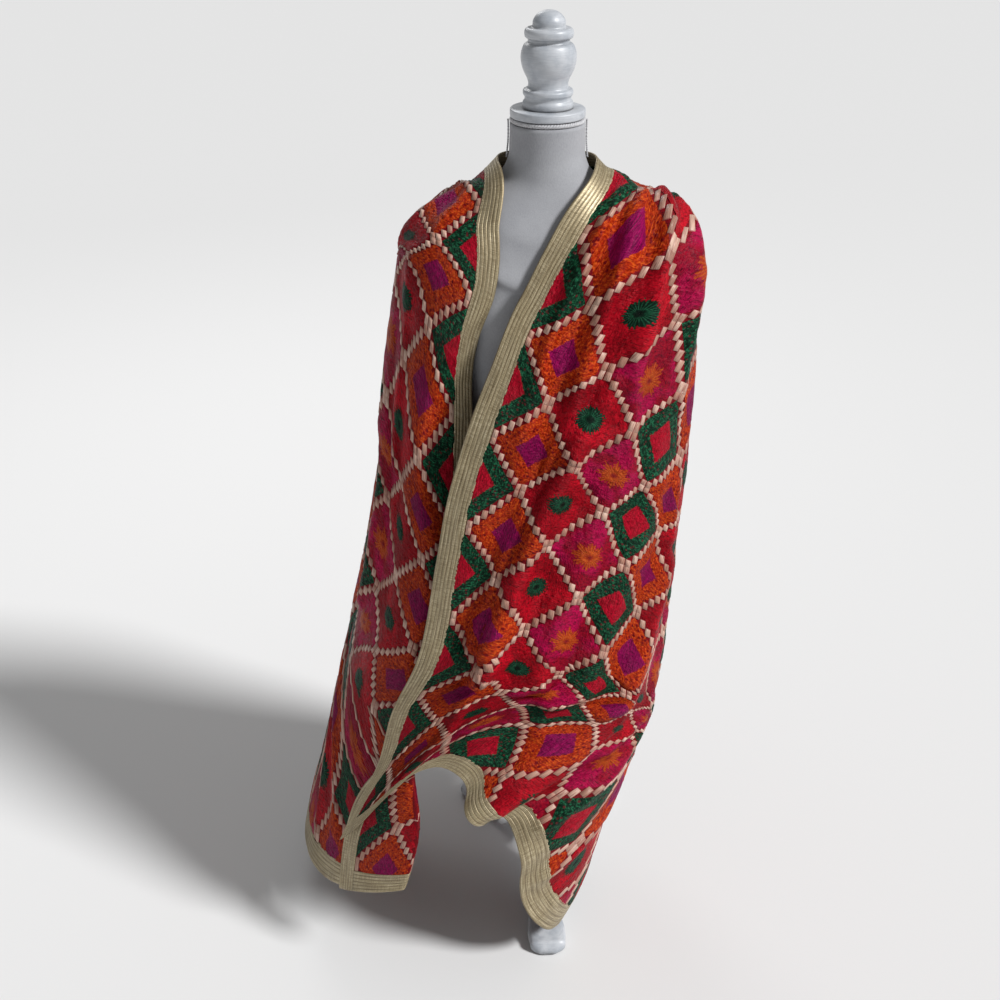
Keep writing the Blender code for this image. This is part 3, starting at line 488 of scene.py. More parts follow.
# Lattice of the embroidery: squares set on their corners
LATTICE_S, LATTICE_T = 0.460, 0.033              # middle of one green square
PITCH_S, PITCH_T = 0.0725, 0.060                 # half the diagonals of a square, with its border
KINDS = ("green", "orange", "red", "magenta")    # the order of the squares across the cloth
RING_OUTER = {"green": 0.428, "orange": 0.440, "red": 0.448, "magenta": 0.448}
CORE = {"green": 0.200, "orange": 0.205}         # half width of the middle square, in square sides
FLOWER = {"red": 0.0165, "magenta": 0.0195}      # radius of the middle flower, in metres
LATTICE_RANGE = range(-40, 40)                   # more squares than the cloth holds
SQUARE_STEPS, WRONG_SIDE_STEPS = 20, 8           # faces across one square
STITCH_RISE = 0.0009                             # height of the stitching in a square
CORE_GROOVE, FLOWER_GROOVE = 0.0007, 0.0004      # depth round its middle square or flower
BORDER_SLOPE, GROOVE_WIDTH = 0.045, 0.022        # widths of their slopes, in square sides
FLOWER_DOME, FLOWER_RIM = (1.05, 0.5), (1.15, 0.15)    # edge and slope of both, in flower radii
FLOWER_RAYS = 26
WRONG_SIDE_SHARE, WRONG_SIDE_RISE = 0.25, 0.0004    # how flat squares and bricks are behind the cloth
CLEAR = 0.0001                                   # smallest way between stitching or ribbon and cloth
ROUGH, ROUGH_FROM = (-0.0003, 0.0005), 0.0004    # random part of the height, where it is over this
UNDER_RIBBON = 0.002                             # way of the stitching under the ribbon
BRICKS = 7                                       # bricks of thread along one side of a square
BRICK_LONG, BRICK_WIDE, BRICK_RISE = 0.0136, 0.0080, 0.0014
BRICK_SIZES, BRICK_SKEWS = (0.90, 1.06), (-0.10, 0.10)    # random shares of their size
# Places over half a brick, along and across it, and the share of its height there
BRICK_GRID = ((-1.0, -0.90, 0.90, 1.0), (-1.0, -0.84, 0.0, 0.84, 1.0))
BRICK_SHAPE = ((-0.25, 0.90, 0.90, -0.25), (-0.25, 0.84, 1.0, 0.84, -0.25))


def between(grid, i, j, u, v):
    """Values of a grid on the way u, v from its place i, j to the next ones."""
    low = (1 - v) * grid[i, j] + v * grid[i, j + 1]
    high = (1 - v) * grid[i + 1, j] + v * grid[i + 1, j + 1]
    return (1 - u) * low + u * high


def soft_noise(size, s, t, seed):
    """Smooth random heights from -1 to 1, one for each patch of the given size."""
    rows, columns = int(CLOTH_LENGTH / size) + 4, int(CLOTH_WIDTH / size) + 4
    knots = np.random.default_rng(seed).uniform(-1, 1, (rows, columns))
    x, y = (s + CLOTH_LENGTH / 2) / size, t / size
    i, j = np.floor(x).astype(int), np.floor(y).astype(int)
    return between(knots, i, j, ease(x - i), ease(y - j))


def creases(s, t):
    """Height of the creases; none on the part of the cloth that is folded away at an edge."""
    right = fold_height(RIGHT_CREASES, s, t) * ease((s + NAPE_BLEND) / (2 * NAPE_BLEND))
    left = fold_height(LEFT_CREASES, -s, t) * ease((NAPE_BLEND - s) / (2 * NAPE_BLEND))
    return (right + left) * ease((t - CREASE_FROM) / CREASE_FADE)


def outward(points):
    """Directions out of the cloth, each a mean over five places so that tight folds stay even."""
    out = np.cross(np.gradient(points, axis=0), np.gradient(points, axis=1))
    for axis in (0, 1):
        edged = np.pad(out, [(2, 2) if k == axis else (0, 0) for k in range(3)], mode="edge")
        spots = [np.take(edged, np.arange(out.shape[axis]) + k, axis=axis) for k in range(5)]
        out = (spots[0] + 2 * spots[1] + 3 * spots[2] + 2 * spots[3] + spots[4]) / 9
    return unit(out)


class Cloth:
    """The draped shawl, read at any cloth coordinates."""

    def __init__(self):
        half = np.arange(0, CLOTH_LENGTH / 2 + DENSE_STEP / 2, DENSE_STEP)
        self.t = np.arange(0, CLOTH_WIDTH + DENSE_STEP / 2, DENSE_STEP)
        right = drape(RIGHT_THREADS, RIGHT_FOLDS, 1, half, self.t)
        left = drape(LEFT_THREADS, LEFT_FOLDS, -1, half, self.t)
        self.s = np.concatenate([-half[::-1], half[1:]])
        points = np.concatenate([left[::-1], right[1:]]) + PLACE
        s, t = np.meshgrid(self.s, self.t, indexing="ij")
        rise = creases(s, t)
        for number, (size, height) in enumerate(CRUMPLES):
            rise = rise + height * ease(t / SMOOTH_NECK) * (0.5 + soft_noise(size, s, t, number))
        start, folded = lapel_start(self.s)      # under and in the turned-back corner it is flat
        flat = folded[:, None] * ease((2 * start[:, None] + LAPEL_EASE - t) / LAPEL_EASE)
        self.points = points + outward(points) * (rise * (1 - flat))[..., None]
        self.out = outward(self.points)

    def read(self, grid, s, t):
        x = np.clip((s - self.s[0]) / DENSE_STEP, 0, len(self.s) - 1.001)
        y = np.clip(t / DENSE_STEP, 0, len(self.t) - 1.001)
        i, j = x.astype(int), y.astype(int)
        return between(grid, i, j, (x - i)[..., None], (y - j)[..., None])

    def at(self, s, t, lift=0.0):
        """Points lift metres over the middle of the cloth, outward."""
        out = unit(self.read(self.out, s, t))
        return self.read(self.points, s, t) + out * np.broadcast_to(lift, s.shape)[..., None]


def lapel_start(s):
    """Cloth coordinate t of the turned-back fold at stations s, and how far it is folded there."""
    rows = Threads(LEFT_THREADS, np.abs(s))
    return rows.start, ease(rows.lapel / LAPEL_EASE) * (s < 0)


def triples(a, b, c=0.0):
    """Three values for each point."""
    return np.stack(np.broadcast_arrays(a, b, c), -1)


# Meshes
def make_mesh(name, vertices, faces, material, attributes=None):
    mesh = bpy.data.meshes.new(name)
    vertices = np.asarray(vertices, float).reshape(-1, 3)
    mesh.from_pydata(vertices.tolist(), [], np.asarray(faces).tolist())
    for key, values in (attributes or {}).items():
        layer = mesh.attributes.new(key, "FLOAT_VECTOR", "POINT")
        layer.data.foreach_set("vector", np.asarray(values, np.float32).ravel())
    mesh.polygons.foreach_set("use_smooth", [True] * len(mesh.polygons))
    mesh.update()
    piece = bpy.data.objects.new(name, mesh)
    bpy.context.scene.collection.objects.link(piece)
    mesh.materials.append(material)
    return piece


def grid_faces(rows, columns, wrap=False):
    """Quads of a grid of points; wrap joins its last column to its first."""
    last = columns if wrap else columns - 1
    i, j = np.meshgrid(np.arange(rows - 1), np.arange(last), indexing="ij")
    a, b = i * columns + j, i * columns + (j + 1) % columns
    return np.stack([a, a + columns, b + columns, b], -1).reshape(-1, 4)


def finish_piece(piece, slot, *nodes):
    if nodes:
        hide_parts(*nodes)
    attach(piece, BODY)
    return piece


def make_joined(name, parts, material, slot, *nodes):
    """One piece from many small grids, each (points, faces, attributes)."""
    vertices, faces, attributes, start = [], [], {}, 0
    for points, quads, extra in parts:
        if len(quads) == 0:
            continue
        vertices.append(points.reshape(-1, 3))
        faces.append(quads + start)
        for key, values in extra.items():
            attributes.setdefault(key, []).append(values.reshape(-1, 3))
        start += len(vertices[-1])
    attributes = {key: np.concatenate(values) for key, values in attributes.items()}
    piece = make_mesh(name, np.concatenate(vertices), np.concatenate(faces), material, attributes)
    return finish_piece(piece, slot, *nodes)


class Finish:
    """A material whose nodes are added one call at a time."""

    def __init__(self, name, **sockets):
        self.material = bpy.data.materials.new(name)
        self.material.use_nodes = True
        self.tree = self.material.node_tree
        self.shader = self.tree.nodes["Principled BSDF"]
        for key, value in sockets.items():
            self.fill(self.shader.inputs[key.replace("_", " ")], value)

    def fill(self, socket, value):
        """Link a node's output to a socket, or set the socket to a number or colour."""
        if isinstance(value, bpy.types.NodeSocket):
            self.tree.links.new(value, socket)
        elif isinstance(value, tuple):
            socket.default_value = (*value, 1.0)[:len(socket.default_value)]
        else:
            socket.default_value = value

    def node(self, kind, inputs, output=0, **settings):
        """Add a node, fill its inputs and return one of its outputs."""
        fresh = self.tree.nodes.new("ShaderNode" + kind)
        for key, value in settings.items():
            setattr(fresh, key, value)
        for key, value in inputs.items():
            self.fill(fresh.inputs[key], value)
        return fresh.outputs[output]

    def attribute(self, name):
        return self.node("Attribute", {}, "Vector", attribute_name=name)

    def place(self):
        return self.node("TexCoord", {}, "Object")

    def parts(self, vector):
        return self.node("SeparateXYZ", {0: vector}).node.outputs

    def maths(self, operation, a, b=0.0):
        return self.node("Math", {0: a, 1: b}, operation=operation)

    def noise(self, vector, scale, detail=2.0, roughness=0.5):
        return self.node("TexNoise", {"Vector": vector, "Scale": scale, "Detail": detail,
                                      "Roughness": roughness}, "Fac")

    def stretch(self, vector, scales):
        return self.node("VectorMath", {0: vector, 1: scales}, operation="MULTIPLY")

    def streaks(self, vector, scales, detail=2.0, roughness=0.5):
        """Noise with its own scale in each direction."""
        return self.noise(self.stretch(vector, scales), 1.0, detail, roughness)

    def ramp(self, value, stops):
        colour = self.node("ValToRGB", {0: value}, "Color")
        points = colour.node.color_ramp.elements
        for number, (at, shade) in enumerate(stops):
            point = points[number] if number < len(points) else points.new(at)
            point.position = at
            point.color = (*shade, 1.0) if isinstance(shade, tuple) else (shade, shade, shade, 1.0)
        return colour

    def step(self, value, edge, softness):
        """0 below the edge and 1 above it."""
        inputs = {"Value": value, "From Min": edge - softness, "From Max": edge + softness}
        return self.node("MapRange", inputs, "Result", interpolation_type="SMOOTHSTEP")

    def span(self, value, low, high):
        """value from 0 to 1 set to low to high."""
        return self.node("MapRange", {"Value": value, "To Min": low, "To Max": high}, "Result")

    def mix(self, factor, a, b, blend="MIX"):
        return self.node("Mix", {0: factor, 6: a, 7: b}, 2, data_type="RGBA", blend_type=blend)

    def shaded(self, colour, value, stops):
        """The colour darkened by a ramp."""
        return self.mix(1.0, colour, self.ramp(value, stops), "MULTIPLY")

    def bump(self, height, strength, distance, below=None):
        inputs = {"Height": height, "Strength": strength, "Distance": distance}
        return self.node("Bump", inputs if below is None else {**inputs, "Normal": below}, "Normal")

    def done(self, colour, rough, normal):
        """The material with its colour, roughness (value, low, high) and relief."""
        values = {"Base Color": colour, "Roughness": self.span(*rough), "Normal": normal}
        for key, value in values.items():
            self.fill(self.shader.inputs[key], value)
        return self.material


# Colours of the silk, as linear red, green and blue
# The lightest colour of each ring is partly brighter strands and partly a painted glint on the silk.
RING_COLOURS = {
    "green": {"dark": (.001, .006, .003), "middle": (.002, .032, .014), "light_and_glint": (.022, .20, .090),
              "flecks": (.12, .022, .02), "core_dark": (.24, .001, .008),
              "core_light": (.66, .003, .030), "dotted": .0062},
    "orange": {"dark": (.20, .006, .002), "middle": (.50, .028, .003), "light_and_glint": (.80, .120, .012),
               "flecks": (.22, .003, .006), "core_dark": (.13, .001, .045),
               "core_light": (.40, .002, .11), "dotted": .0078},
}
# The two field colours of a flower square are painted sheen: a lit and a shaded copy of the same silk.
FLOWER_COLOURS = {
    "red": {"sheen_lit": (.64, .003, .018), "sheen_shaded": (.40, .001, .010), "deep": (.13, .0005, .004),
            "petal_dark": (.001, .004, .003), "petal_light": (.003, .026, .013),
            "glint": (.025, .22, .10), "petals": 6, "waist": .03},
    "magenta": {"sheen_lit": (.56, .002, .080), "sheen_shaded": (.38, .001, .020), "deep": (.12, .0005, .016),
                "petal_dark": (.26, .005, .018), "petal_light": (.50, .052, .007),
                "glint": (.76, .19, .025), "petals": 8, "waist": .16},
}
BRICK_PINKS = ((0.0, (0.52, 0.27, 0.19)), (0.5, (0.68, 0.41, 0.31)), (1.0, (0.84, 0.60, 0.47)))
RED_GROUND = ((0.14, (0.08, 0.0005, 0.003)), (0.36, (0.34, 0.002, 0.012)))
CHAMPAGNE = ((0.34, (0.13, 0.090, 0.042)), (0.50, (0.36, 0.290, 0.165)), (0.64, (0.74, 0.64, 0.43)))
# Painted shade in the grooves between the ribbon's ribs.
CHAMPAGNE_GROOVE_SHADE = (0.15, 0.10, 0.045)
SEWING_THREAD = ((0.3, (0.34, 0.25, 0.14)), (0.7, (0.70, 0.60, 0.42)))
SLOW_DARKENING = ((0.30, (0.62, 0.60, 0.60)), (0.68, (0.86, 0.85, 0.85)))
JERSEY_GREY = ((0.30, (0.31, 0.315, 0.335)), (0.70, (0.41, 0.415, 0.435)))
PAINT_WHITE = ((0.32, (0.37, 0.40, 0.44)), (0.60, (0.52, 0.54, 0.57)))
CORD_GREY = ((0.30, (0.24, 0.24, 0.26)), (0.62, (0.66, 0.66, 0.69)))

# Materials of the cloth
SILK_SHINE = 0.10            # specular level of the stitching
THREAD_PITCH = 0.0009        # one strand of the embroidery floss
STITCH = 0.009               # usual length of a stitch


def strands(finish, cloth, along_s=STITCH, along_t=THREAD_PITCH):
    """Fine strands of floss, with their size along s and t."""
    return finish.streaks(cloth, (1 / along_s, 1 / along_t, 1.0), 2.0, 0.55)


def two_way_strands(finish, cell, cloth):
    """Strands that run one way or the other in the quarters of a square."""
    x, y, _ = finish.parts(cell)
    more = finish.maths("SUBTRACT", finish.maths("ABSOLUTE", x), finish.maths("ABSOLUTE", y))
    return finish.mix(finish.step(more, 0.0, 0.004), strands(finish, cloth),
                      strands(finish, cloth, THREAD_PITCH, STITCH))


def square_reach(finish, vector):
    """Distance from the middle, the same all along a square."""
    x, y, _ = finish.parts(vector)
    return finish.maths("MAXIMUM", finish.maths("ABSOLUTE", x), finish.maths("ABSOLUTE", y))


def uneven(finish, cloth, scale, amount):
    """Random values about 0 that fray an edge."""
    centred = finish.maths("SUBTRACT", finish.noise(cloth, scale, 1.0), 0.5)
    return finish.maths("MULTIPLY", centred, amount)


def toned(finish, cloth, colour):
    """Slow random change of tone over the cloth, darker in places."""
    return finish.shaded(colour, finish.noise(cloth, 9.0, 3.0), SLOW_DARKENING)


def stitched(finish, cloth, colour, rough, reliefs):
    """A material of dense stitching, which pulls at the cloth; reliefs go from the lowest up."""
    normal = finish.bump(finish.noise(cloth, 125.0, 2.0, 0.6), 0.8, 0.0060)
    for height, strength, distance in reliefs:
        normal = finish.bump(height, strength, distance, normal)
    return finish.done(toned(finish, cloth, colour), rough, normal)


def ring_finish(kind, dark, middle, light_and_glint, flecks, core_dark, core_light, dotted):
    """A ring of flecked stitches round a plain satin square."""
    finish = Finish("ring_" + kind, Roughness=0.42, Specular_IOR_Level=SILK_SHINE)
    cloth, cell = finish.attribute("cloth"), finish.attribute("cell")
    weave = two_way_strands(finish, cell, cloth)
    blobs = finish.noise(cloth, 300.0, 2.0, 0.6)
    shade = finish.mix(0.45, blobs, weave)
    # The lightest stop of the ring is partly brighter strands and partly a painted glint.
    ring = finish.ramp(shade, ((0.34, dark), (0.50, middle), (0.62, light_and_glint)))
    knots = finish.node("TexVoronoi", {"Vector": cloth, "Scale": 1 / dotted}, "Distance")
    ring = finish.mix(finish.step(knots, 0.26, 0.05), flecks, ring)
    core = finish.ramp(strands(finish, cloth), ((0.35, core_dark), (0.65, core_light)))
    reach = finish.maths("ADD", square_reach(finish, cell), uneven(finish, cloth, 420.0, 0.048))
    inside = finish.step(reach, CORE[kind], 0.008)
    reliefs = ((inside, 0.35, 0.0004), (shade, 1.0, 0.0030), (weave, 0.6, 0.0006))
    return stitched(finish, cloth, finish.mix(inside, core, ring), (blobs, 0.30, 0.62), reliefs)


def flower_shape(finish, cloth, flower, radius, petals, waist):
    """Share of the way from the middle of a flower to its frayed edge, and its rays."""
    x, y, _ = finish.parts(flower)
    turn = finish.maths("ARCTAN2", y, x)
    wave, rays = (finish.maths("COSINE", finish.maths("MULTIPLY", turn, count))
                  for count in (petals, FLOWER_RAYS))
    edge = 1.0
    for part in (finish.maths("MULTIPLY", wave, waist), finish.maths("MULTIPLY", rays, 0.09),
                 uneven(finish, cloth, 330.0, 0.8)):
        edge = finish.maths("ADD", edge, part)
    distance = finish.node("VectorMath", {0: flower}, "Value", operation="LENGTH")
    return finish.maths("DIVIDE", finish.maths("DIVIDE", distance, radius), edge), rays


def flower_finish(kind, sheen_lit, sheen_shaded, deep, petal_dark, petal_light, glint, petals, waist):
    """A field of satin stitch in two shades of painted sheen, a lit and a shaded copy of its silk in
    random patches, with a flower of rays in the middle.
    """
    finish = Finish("flower_" + kind, Roughness=0.40, Specular_IOR_Level=SILK_SHINE)
    cloth, cell, flower = (finish.attribute(key) for key in ("cloth", "cell", "flower"))
    weave = two_way_strands(finish, cell, cloth)
    blobs = finish.noise(cloth, 260.0, 2.0, 0.6)
    shade = finish.mix(0.5, blobs, weave)
    # Painted sheen: the lit and shaded copies of the field are laid in random patches.
    fields = [finish.ramp(shade, ((0.33, deep), (0.55, silk))) for silk in (sheen_lit, sheen_shaded)]
    field = finish.mix(finish.step(finish.noise(cell, 2.4, 1.0), 0.5, 0.10), *fields)
    share, rays = flower_shape(finish, cloth, flower, FLOWER[kind], petals, waist)
    inside = finish.step(share, 1.0, 0.04)
    ray_shade = finish.mix(0.5, finish.maths("MULTIPLY_ADD", rays, 0.25), blobs)
    ray_shade = finish.mix(0.5, ray_shade, finish.ramp(share, ((0.0, 0.15), (0.35, 0.75), (1.0, 0.55))))
    petal = finish.ramp(ray_shade, ((0.34, petal_dark), (0.57, petal_light), (0.78, glint)))
    lines = finish.mix(inside, finish.span(rays, 0.0, 1.0), weave)
    reliefs = ((finish.maths("SUBTRACT", 1.0, inside), 0.6, 0.0006), (shade, 1.0, 0.0028),
               (lines, 0.5, 0.0006))
    return stitched(finish, cloth, finish.mix(inside, petal, field), (blobs, 0.28, 0.58), reliefs)


def brick_finish():
    """Pale pink silk laid in short slanting bricks."""
    finish = Finish("brick_silk", Roughness=0.34, Sheen_Weight=0.04, Sheen_Roughness=0.3,
                    Specular_IOR_Level=0.3)
    cloth, brick = finish.attribute("cloth"), finish.attribute("brick")
    line = finish.streaks(cloth, (90.0, 1300.0, 1.0))
    colour = finish.ramp(finish.parts(brick)[2], BRICK_PINKS)
    colour = finish.shaded(colour, line, ((0.32, (0.52, 0.40, 0.40)), (0.58, 1.0)))
    colour = finish.mix(finish.step(square_reach(finish, brick), 0.93, 0.06), colour, (0.42, 0.10, 0.10))
    return finish.done(toned(finish, cloth, colour), (line, 0.24, 0.52), finish.bump(line, 0.7, 0.0007))


def ground_finish():
    """Plain weave of the ground cloth."""
    finish = Finish("ground_cloth", Roughness=0.6, Specular_IOR_Level=0.12)
    cloth = finish.attribute("cloth")
    warp, weft = (finish.streaks(cloth, scales, 1.0)
                  for scales in ((250.0, 1600.0, 1.0), (1600.0, 250.0, 1.0)))
    weave = finish.maths("MULTIPLY", warp, weft)
    colour = toned(finish, cloth, finish.ramp(weave, RED_GROUND))
    return finish.done(colour, (weave, 0.5, 0.8), finish.bump(weave, 0.8, 0.0008))


# Pieces of the cloth
def shell_stations():
    """Rows of s, and for each row its own t, closer together beside the turned-back fold."""
    s = np.linspace(-END, END, round(CLOTH_LENGTH / SHELL_STEP_S) + 1)
    fine = np.linspace(0, CLOTH_WIDTH, 2001)
    count = round(CLOTH_WIDTH / SHELL_STEP_T) + 1
    rows = []
    for begin, amount in zip(*lapel_start(s)):
        crowd = 1 + FOLD_CROWD * amount * np.exp(-((fine - begin) / FOLD_EASE) ** 2)
        way = running((crowd[1:] + crowd[:-1]) / 2)
        rows.append(np.interp(np.linspace(0, way[-1], count), way, fine))
    t = np.array(rows)
    return np.broadcast_to(s[:, None], t.shape), t


def make_shell(cloth):
    """The ground cloth: its two faces, joined round all four edges."""
    s, t = shell_stations()
    rows, columns = s.shape
    count = rows * columns
    faces = grid_faces(rows, columns)
    left, right = np.arange(rows) * columns, np.arange(rows - 2, -1, -1) * columns + columns - 1
    far, near = (rows - 1) * columns + np.arange(1, columns), np.arange(columns - 2, 0, -1)
    rim = np.concatenate([left, far, right, near])
    nexts = np.roll(rim, -1)
    sides = np.stack([rim, nexts, nexts + count, rim + count], -1)
    points = np.concatenate([cloth.at(s, t, lift) for lift in (GROUND_HALF, -GROUND_HALF)])
    faces = np.concatenate([faces, faces[:, ::-1] + count, sides])
    extra = {"cloth": np.concatenate([triples(s, t)] * 2)}
    piece = make_mesh("shawl_cloth", points, faces, ground_finish(), extra)
    return finish_piece(piece, "embroidery", "shawl_left_front", "shawl_back", "shawl_right_front")


def lattice_place(a, b):
    return LATTICE_S + PITCH_S * (a + b), LATTICE_T + PITCH_T * (a - b)


def lattice_squares():
    """Numbers a, b of the middle, and the kind, of every square that reaches onto the cloth."""
    squares = []
    for i, j in itertools.product(LATTICE_RANGE, LATTICE_RANGE):
        s, t = lattice_place(i, j)
        if abs(s) < END - TRIM_WIDTH + PITCH_S and TRIM_WIDTH - PITCH_T < t < FAR - TRIM_WIDTH + PITCH_T:
            squares.append((i, j, KINDS[(i - j) % 4]))
    return squares


def inside_ribbon(s, t):
    """The same places held inside the ribbon's inner edge, by a stitch."""
    edge = TRIM_WIDTH - UNDER_RIBBON
    return np.clip(s, edge - END, END - edge), np.clip(t, edge, FAR - edge)


def drop_flat(points, faces, least):
    """Faces that still have an area after their points were held inside the ribbon."""
    corners = points.reshape(-1, 3)[faces]
    area = np.linalg.norm(np.cross(corners[:, 2] - corners[:, 0], corners[:, 3] - corners[:, 1]), axis=-1)
    return faces[area > least]


def square_heights(kind, a, b, spots):
    """Height of the stitching over the cloth in one square."""
    reach = np.maximum(np.abs(a), np.abs(b))
    height = STITCH_RISE * ease((RING_OUTER[kind] - reach) / BORDER_SLOPE)
    if kind in CORE:
        return height - CORE_GROOVE * np.exp(-((reach - CORE[kind]) / GROOVE_WIDTH) ** 2)
    radius = np.hypot(*spots) / FLOWER[kind]
    (dome, dome_slope), (rim, rim_slope) = FLOWER_DOME, FLOWER_RIM
    height = height + STITCH_RISE * ease((dome - radius) / dome_slope)
    return height - FLOWER_GROOVE * np.exp(-((radius - rim) / rim_slope) ** 2)


def square_patch(cloth, i, j, kind, roughen, side, steps):
    """Stitching of one square, on the right side or, flatter, on the wrong side."""
    line = np.linspace(-RING_OUTER[kind], RING_OUTER[kind], steps + 1)
    a, b = np.meshgrid(line, line, indexing="ij")
    spots = PITCH_S * (a + b), PITCH_T * (a - b)
    height = square_heights(kind, a, b, spots)
    height = height + roughen.uniform(*ROUGH, height.shape) * (height > ROUGH_FROM)
    seed = roughen.uniform()
    s, t = inside_ribbon(*lattice_place(i + a, j + b))
    lift = CLOTH_HALF + CLEAR + np.maximum(height, -2 * CLEAR)
    if side < 0:
        lift = -(CLOTH_HALF + 2 * CLEAR + WRONG_SIDE_SHARE * height)
    points = cloth.at(s, t, lift)
    faces = drop_flat(points, grid_faces(*a.shape)[:, ::side], 1e-9)
    return points, faces, {"cloth": triples(s, t, seed), "cell": triples(a, b, 7 * seed),
                           "flower": triples(*spots)}


def make_squares(cloth, finishes, name, side, steps, seed):
    roughen = np.random.default_rng(seed)
    patches = {kind: [] for kind in KINDS}
    for i, j, kind in lattice_squares():
        patches[kind].append(square_patch(cloth, i, j, kind, roughen, side, steps))
    return [make_joined(name + kind, parts, finishes[kind], "embroidery")
            for kind, parts in patches.items()]


def brick_places():
    """Middles of all bricks, as lattice numbers."""
    places = set()
    for (i, j, _), k in itertools.product(lattice_squares(), range(BRICKS)):
        way = (k + 0.5) / BRICKS - 0.5
        for a, b in ((0.5, way), (-0.5, way), (way, 0.5), (way, -0.5)):
            places.add((round(i + a, 4), round(j + b, 4)))
    return sorted(places)


def make_bricks(cloth, name, side, rise, seed):
    """Short blocks of satin stitch that climb in steps between the squares."""
    roughen = np.random.default_rng(seed)
    x, y = np.meshgrid(*BRICK_GRID, indexing="ij")
    shape = np.minimum(*np.meshgrid(*BRICK_SHAPE, indexing="ij"))
    quads = grid_faces(*x.shape)[:, ::side]
    edge = TRIM_WIDTH + UNDER_RIBBON
    parts = []
    for s, t in (lattice_place(a, b) for a, b in brick_places()):
        size, skew = roughen.uniform(*BRICK_SIZES), roughen.uniform(*BRICK_SKEWS)
        shade = roughen.uniform()
        if abs(s) > END - edge or not edge < t < FAR - edge:
            continue
        s, t = inside_ribbon(s + BRICK_LONG / 2 * size * x, t + BRICK_WIDE / 2 * (y * size + skew * x))
        points = cloth.at(s, t, side * (CLOTH_HALF + rise * shape * (0.9 + 0.2 * shade)))
        extra = {"cloth": triples(s, t, shade), "brick": triples(x, y, shade)}
        parts.append((points, drop_flat(points, quads, 1e-8), extra))
    return make_joined(name, parts, brick_finish(), "embroidery")


# The ribbon
RIBBON_RIBS = 6
RIBBON_HALF = 0.0006         # ribbon over the cloth on each side
RIB_RISE = 0.0005
RIB_SHAPE = ((0.04, 0.0), (0.20, 0.85), (0.50, 1.0), (0.80, 0.85))    # way over a rib, share of its rise
RIBBON_EDGE = ((-0.012, -0.0006), (-0.016, 0.0), (-0.012, 0.0006))    # its round fold over the edge
RIBBON_STEP = 0.0055
RIBBON_TUCK = 0.001          # ends of the two short ribbons under the long ones
SEW_LONG, SEW_GAP, SEW_WIDE, SEW_RISE = 0.0034, 0.0026, 0.0007, 0.0004
SEW_INSET = 0.0022           # stitches' distance from the ribbon's inner edge


def ribbon_finish():
    """Champagne ribbon woven with metal thread, in lengthwise ribs, with painted shade in the grooves
    between them.
    """
    finish = Finish("ribbon_metal", Roughness=0.42, Metallic=0.45, Specular_IOR_Level=0.6)
    ribbon = finish.attribute("ribbon")
    grain = finish.streaks(ribbon, (900.0, 520.0, 1.0), 2.0, 0.65)
    picks = finish.streaks(ribbon, (1500.0, 60.0, 1.0), 1.0)
    slow = finish.streaks(ribbon, (14.0, 40.0, 1.0), 3.0)
    share = finish.maths("MULTIPLY", finish.parts(ribbon)[1], RIBBON_RIBS / TRIM_WIDTH)
    groove = finish.maths("ABSOLUTE", finish.maths("SUBTRACT", finish.maths("FRACT", share), 0.5))
    dark_line = finish.step(groove, 0.40, 0.05)
    lines = finish.streaks(ribbon, (22.0, 1100.0, 1.0), 2.0, 0.6)
    shade = finish.mix(0.45, finish.mix(0.5, grain, picks), lines)
    # Painted shade in the grooves between the ribs, stronger in slow patches.
    groove_shade = finish.maths("MULTIPLY", dark_line, finish.span(slow, 0.15, 0.85))
    colour = finish.mix(groove_shade, finish.ramp(shade, CHAMPAGNE), CHAMPAGNE_GROOVE_SHADE)
    colour = finish.shaded(colour, slow, ((0.3, (0.80, 0.80, 0.82)), (0.7, 1.0)))
    ribs = finish.bump(finish.maths("SUBTRACT", 1.0, dark_line), 0.6, 0.0006)
    return finish.done(colour, (grain, 0.28, 0.60), finish.bump(shade, 0.7, 0.0006, ribs))


def ribbon_section():
    """Places across the ribbon from its outer edge, and heights, for its face and its back."""
    flat = CLOTH_HALF + RIBBON_HALF
    face = [((rib + share) / RIBBON_RIBS, flat + RIB_RISE * rise)
            for rib in range(RIBBON_RIBS) for share, rise in RIB_SHAPE]
    face += [(0.985, flat), (1.0, CLOTH_HALF + CLEAR)]
    back = [(share, -height) for share, height in face[::-1]]
    return np.array(face + back + list(RIBBON_EDGE))


def make_ribbon(cloth, edge, along, spot, material):
    """A ribbon sewn over an edge: spot(along, over) gives cloth coordinates."""
    section = ribbon_section()
    way, cross = np.meshgrid(along, section[:, 0] * TRIM_WIDTH, indexing="ij")
    s, t = spot(way, cross)
    inner, outer = (cloth.at(*spot(way, np.full_like(cross, over))) for over in (0.003, 0.0))
    points = cloth.at(s, t, section[:, 1]) - unit(outer - inner) * np.minimum(cross, 0.0)[..., None]
    faces = grid_faces(*s.shape, wrap=True)
    inside = np.cross(points[1, 0] - points[0, 0], points[0, 1] - points[0, 0])
    if np.dot(inside, cloth.read(cloth.out, s[:1, :1], t[:1, :1])[0, 0]) > 0:
        faces = faces[:, ::-1]
    piece = make_mesh("ribbon_" + edge, points, faces, material, {"ribbon": triples(way, cross)})
    return finish_piece(cap_ends(piece), "trim", "trim_" + edge)


def cap_ends(piece):
    """Close the open ends of a ribbon, cord or skin."""
    bm = bmesh.new()
    bm.from_mesh(piece.data)
    bmesh.ops.holes_fill(bm, edges=[edge for edge in bm.edges if edge.is_boundary], sides=0)
    bmesh.ops.recalc_face_normals(bm, faces=bm.faces)
    bm.to_mesh(piece.data)
    bm.free()
    return piece


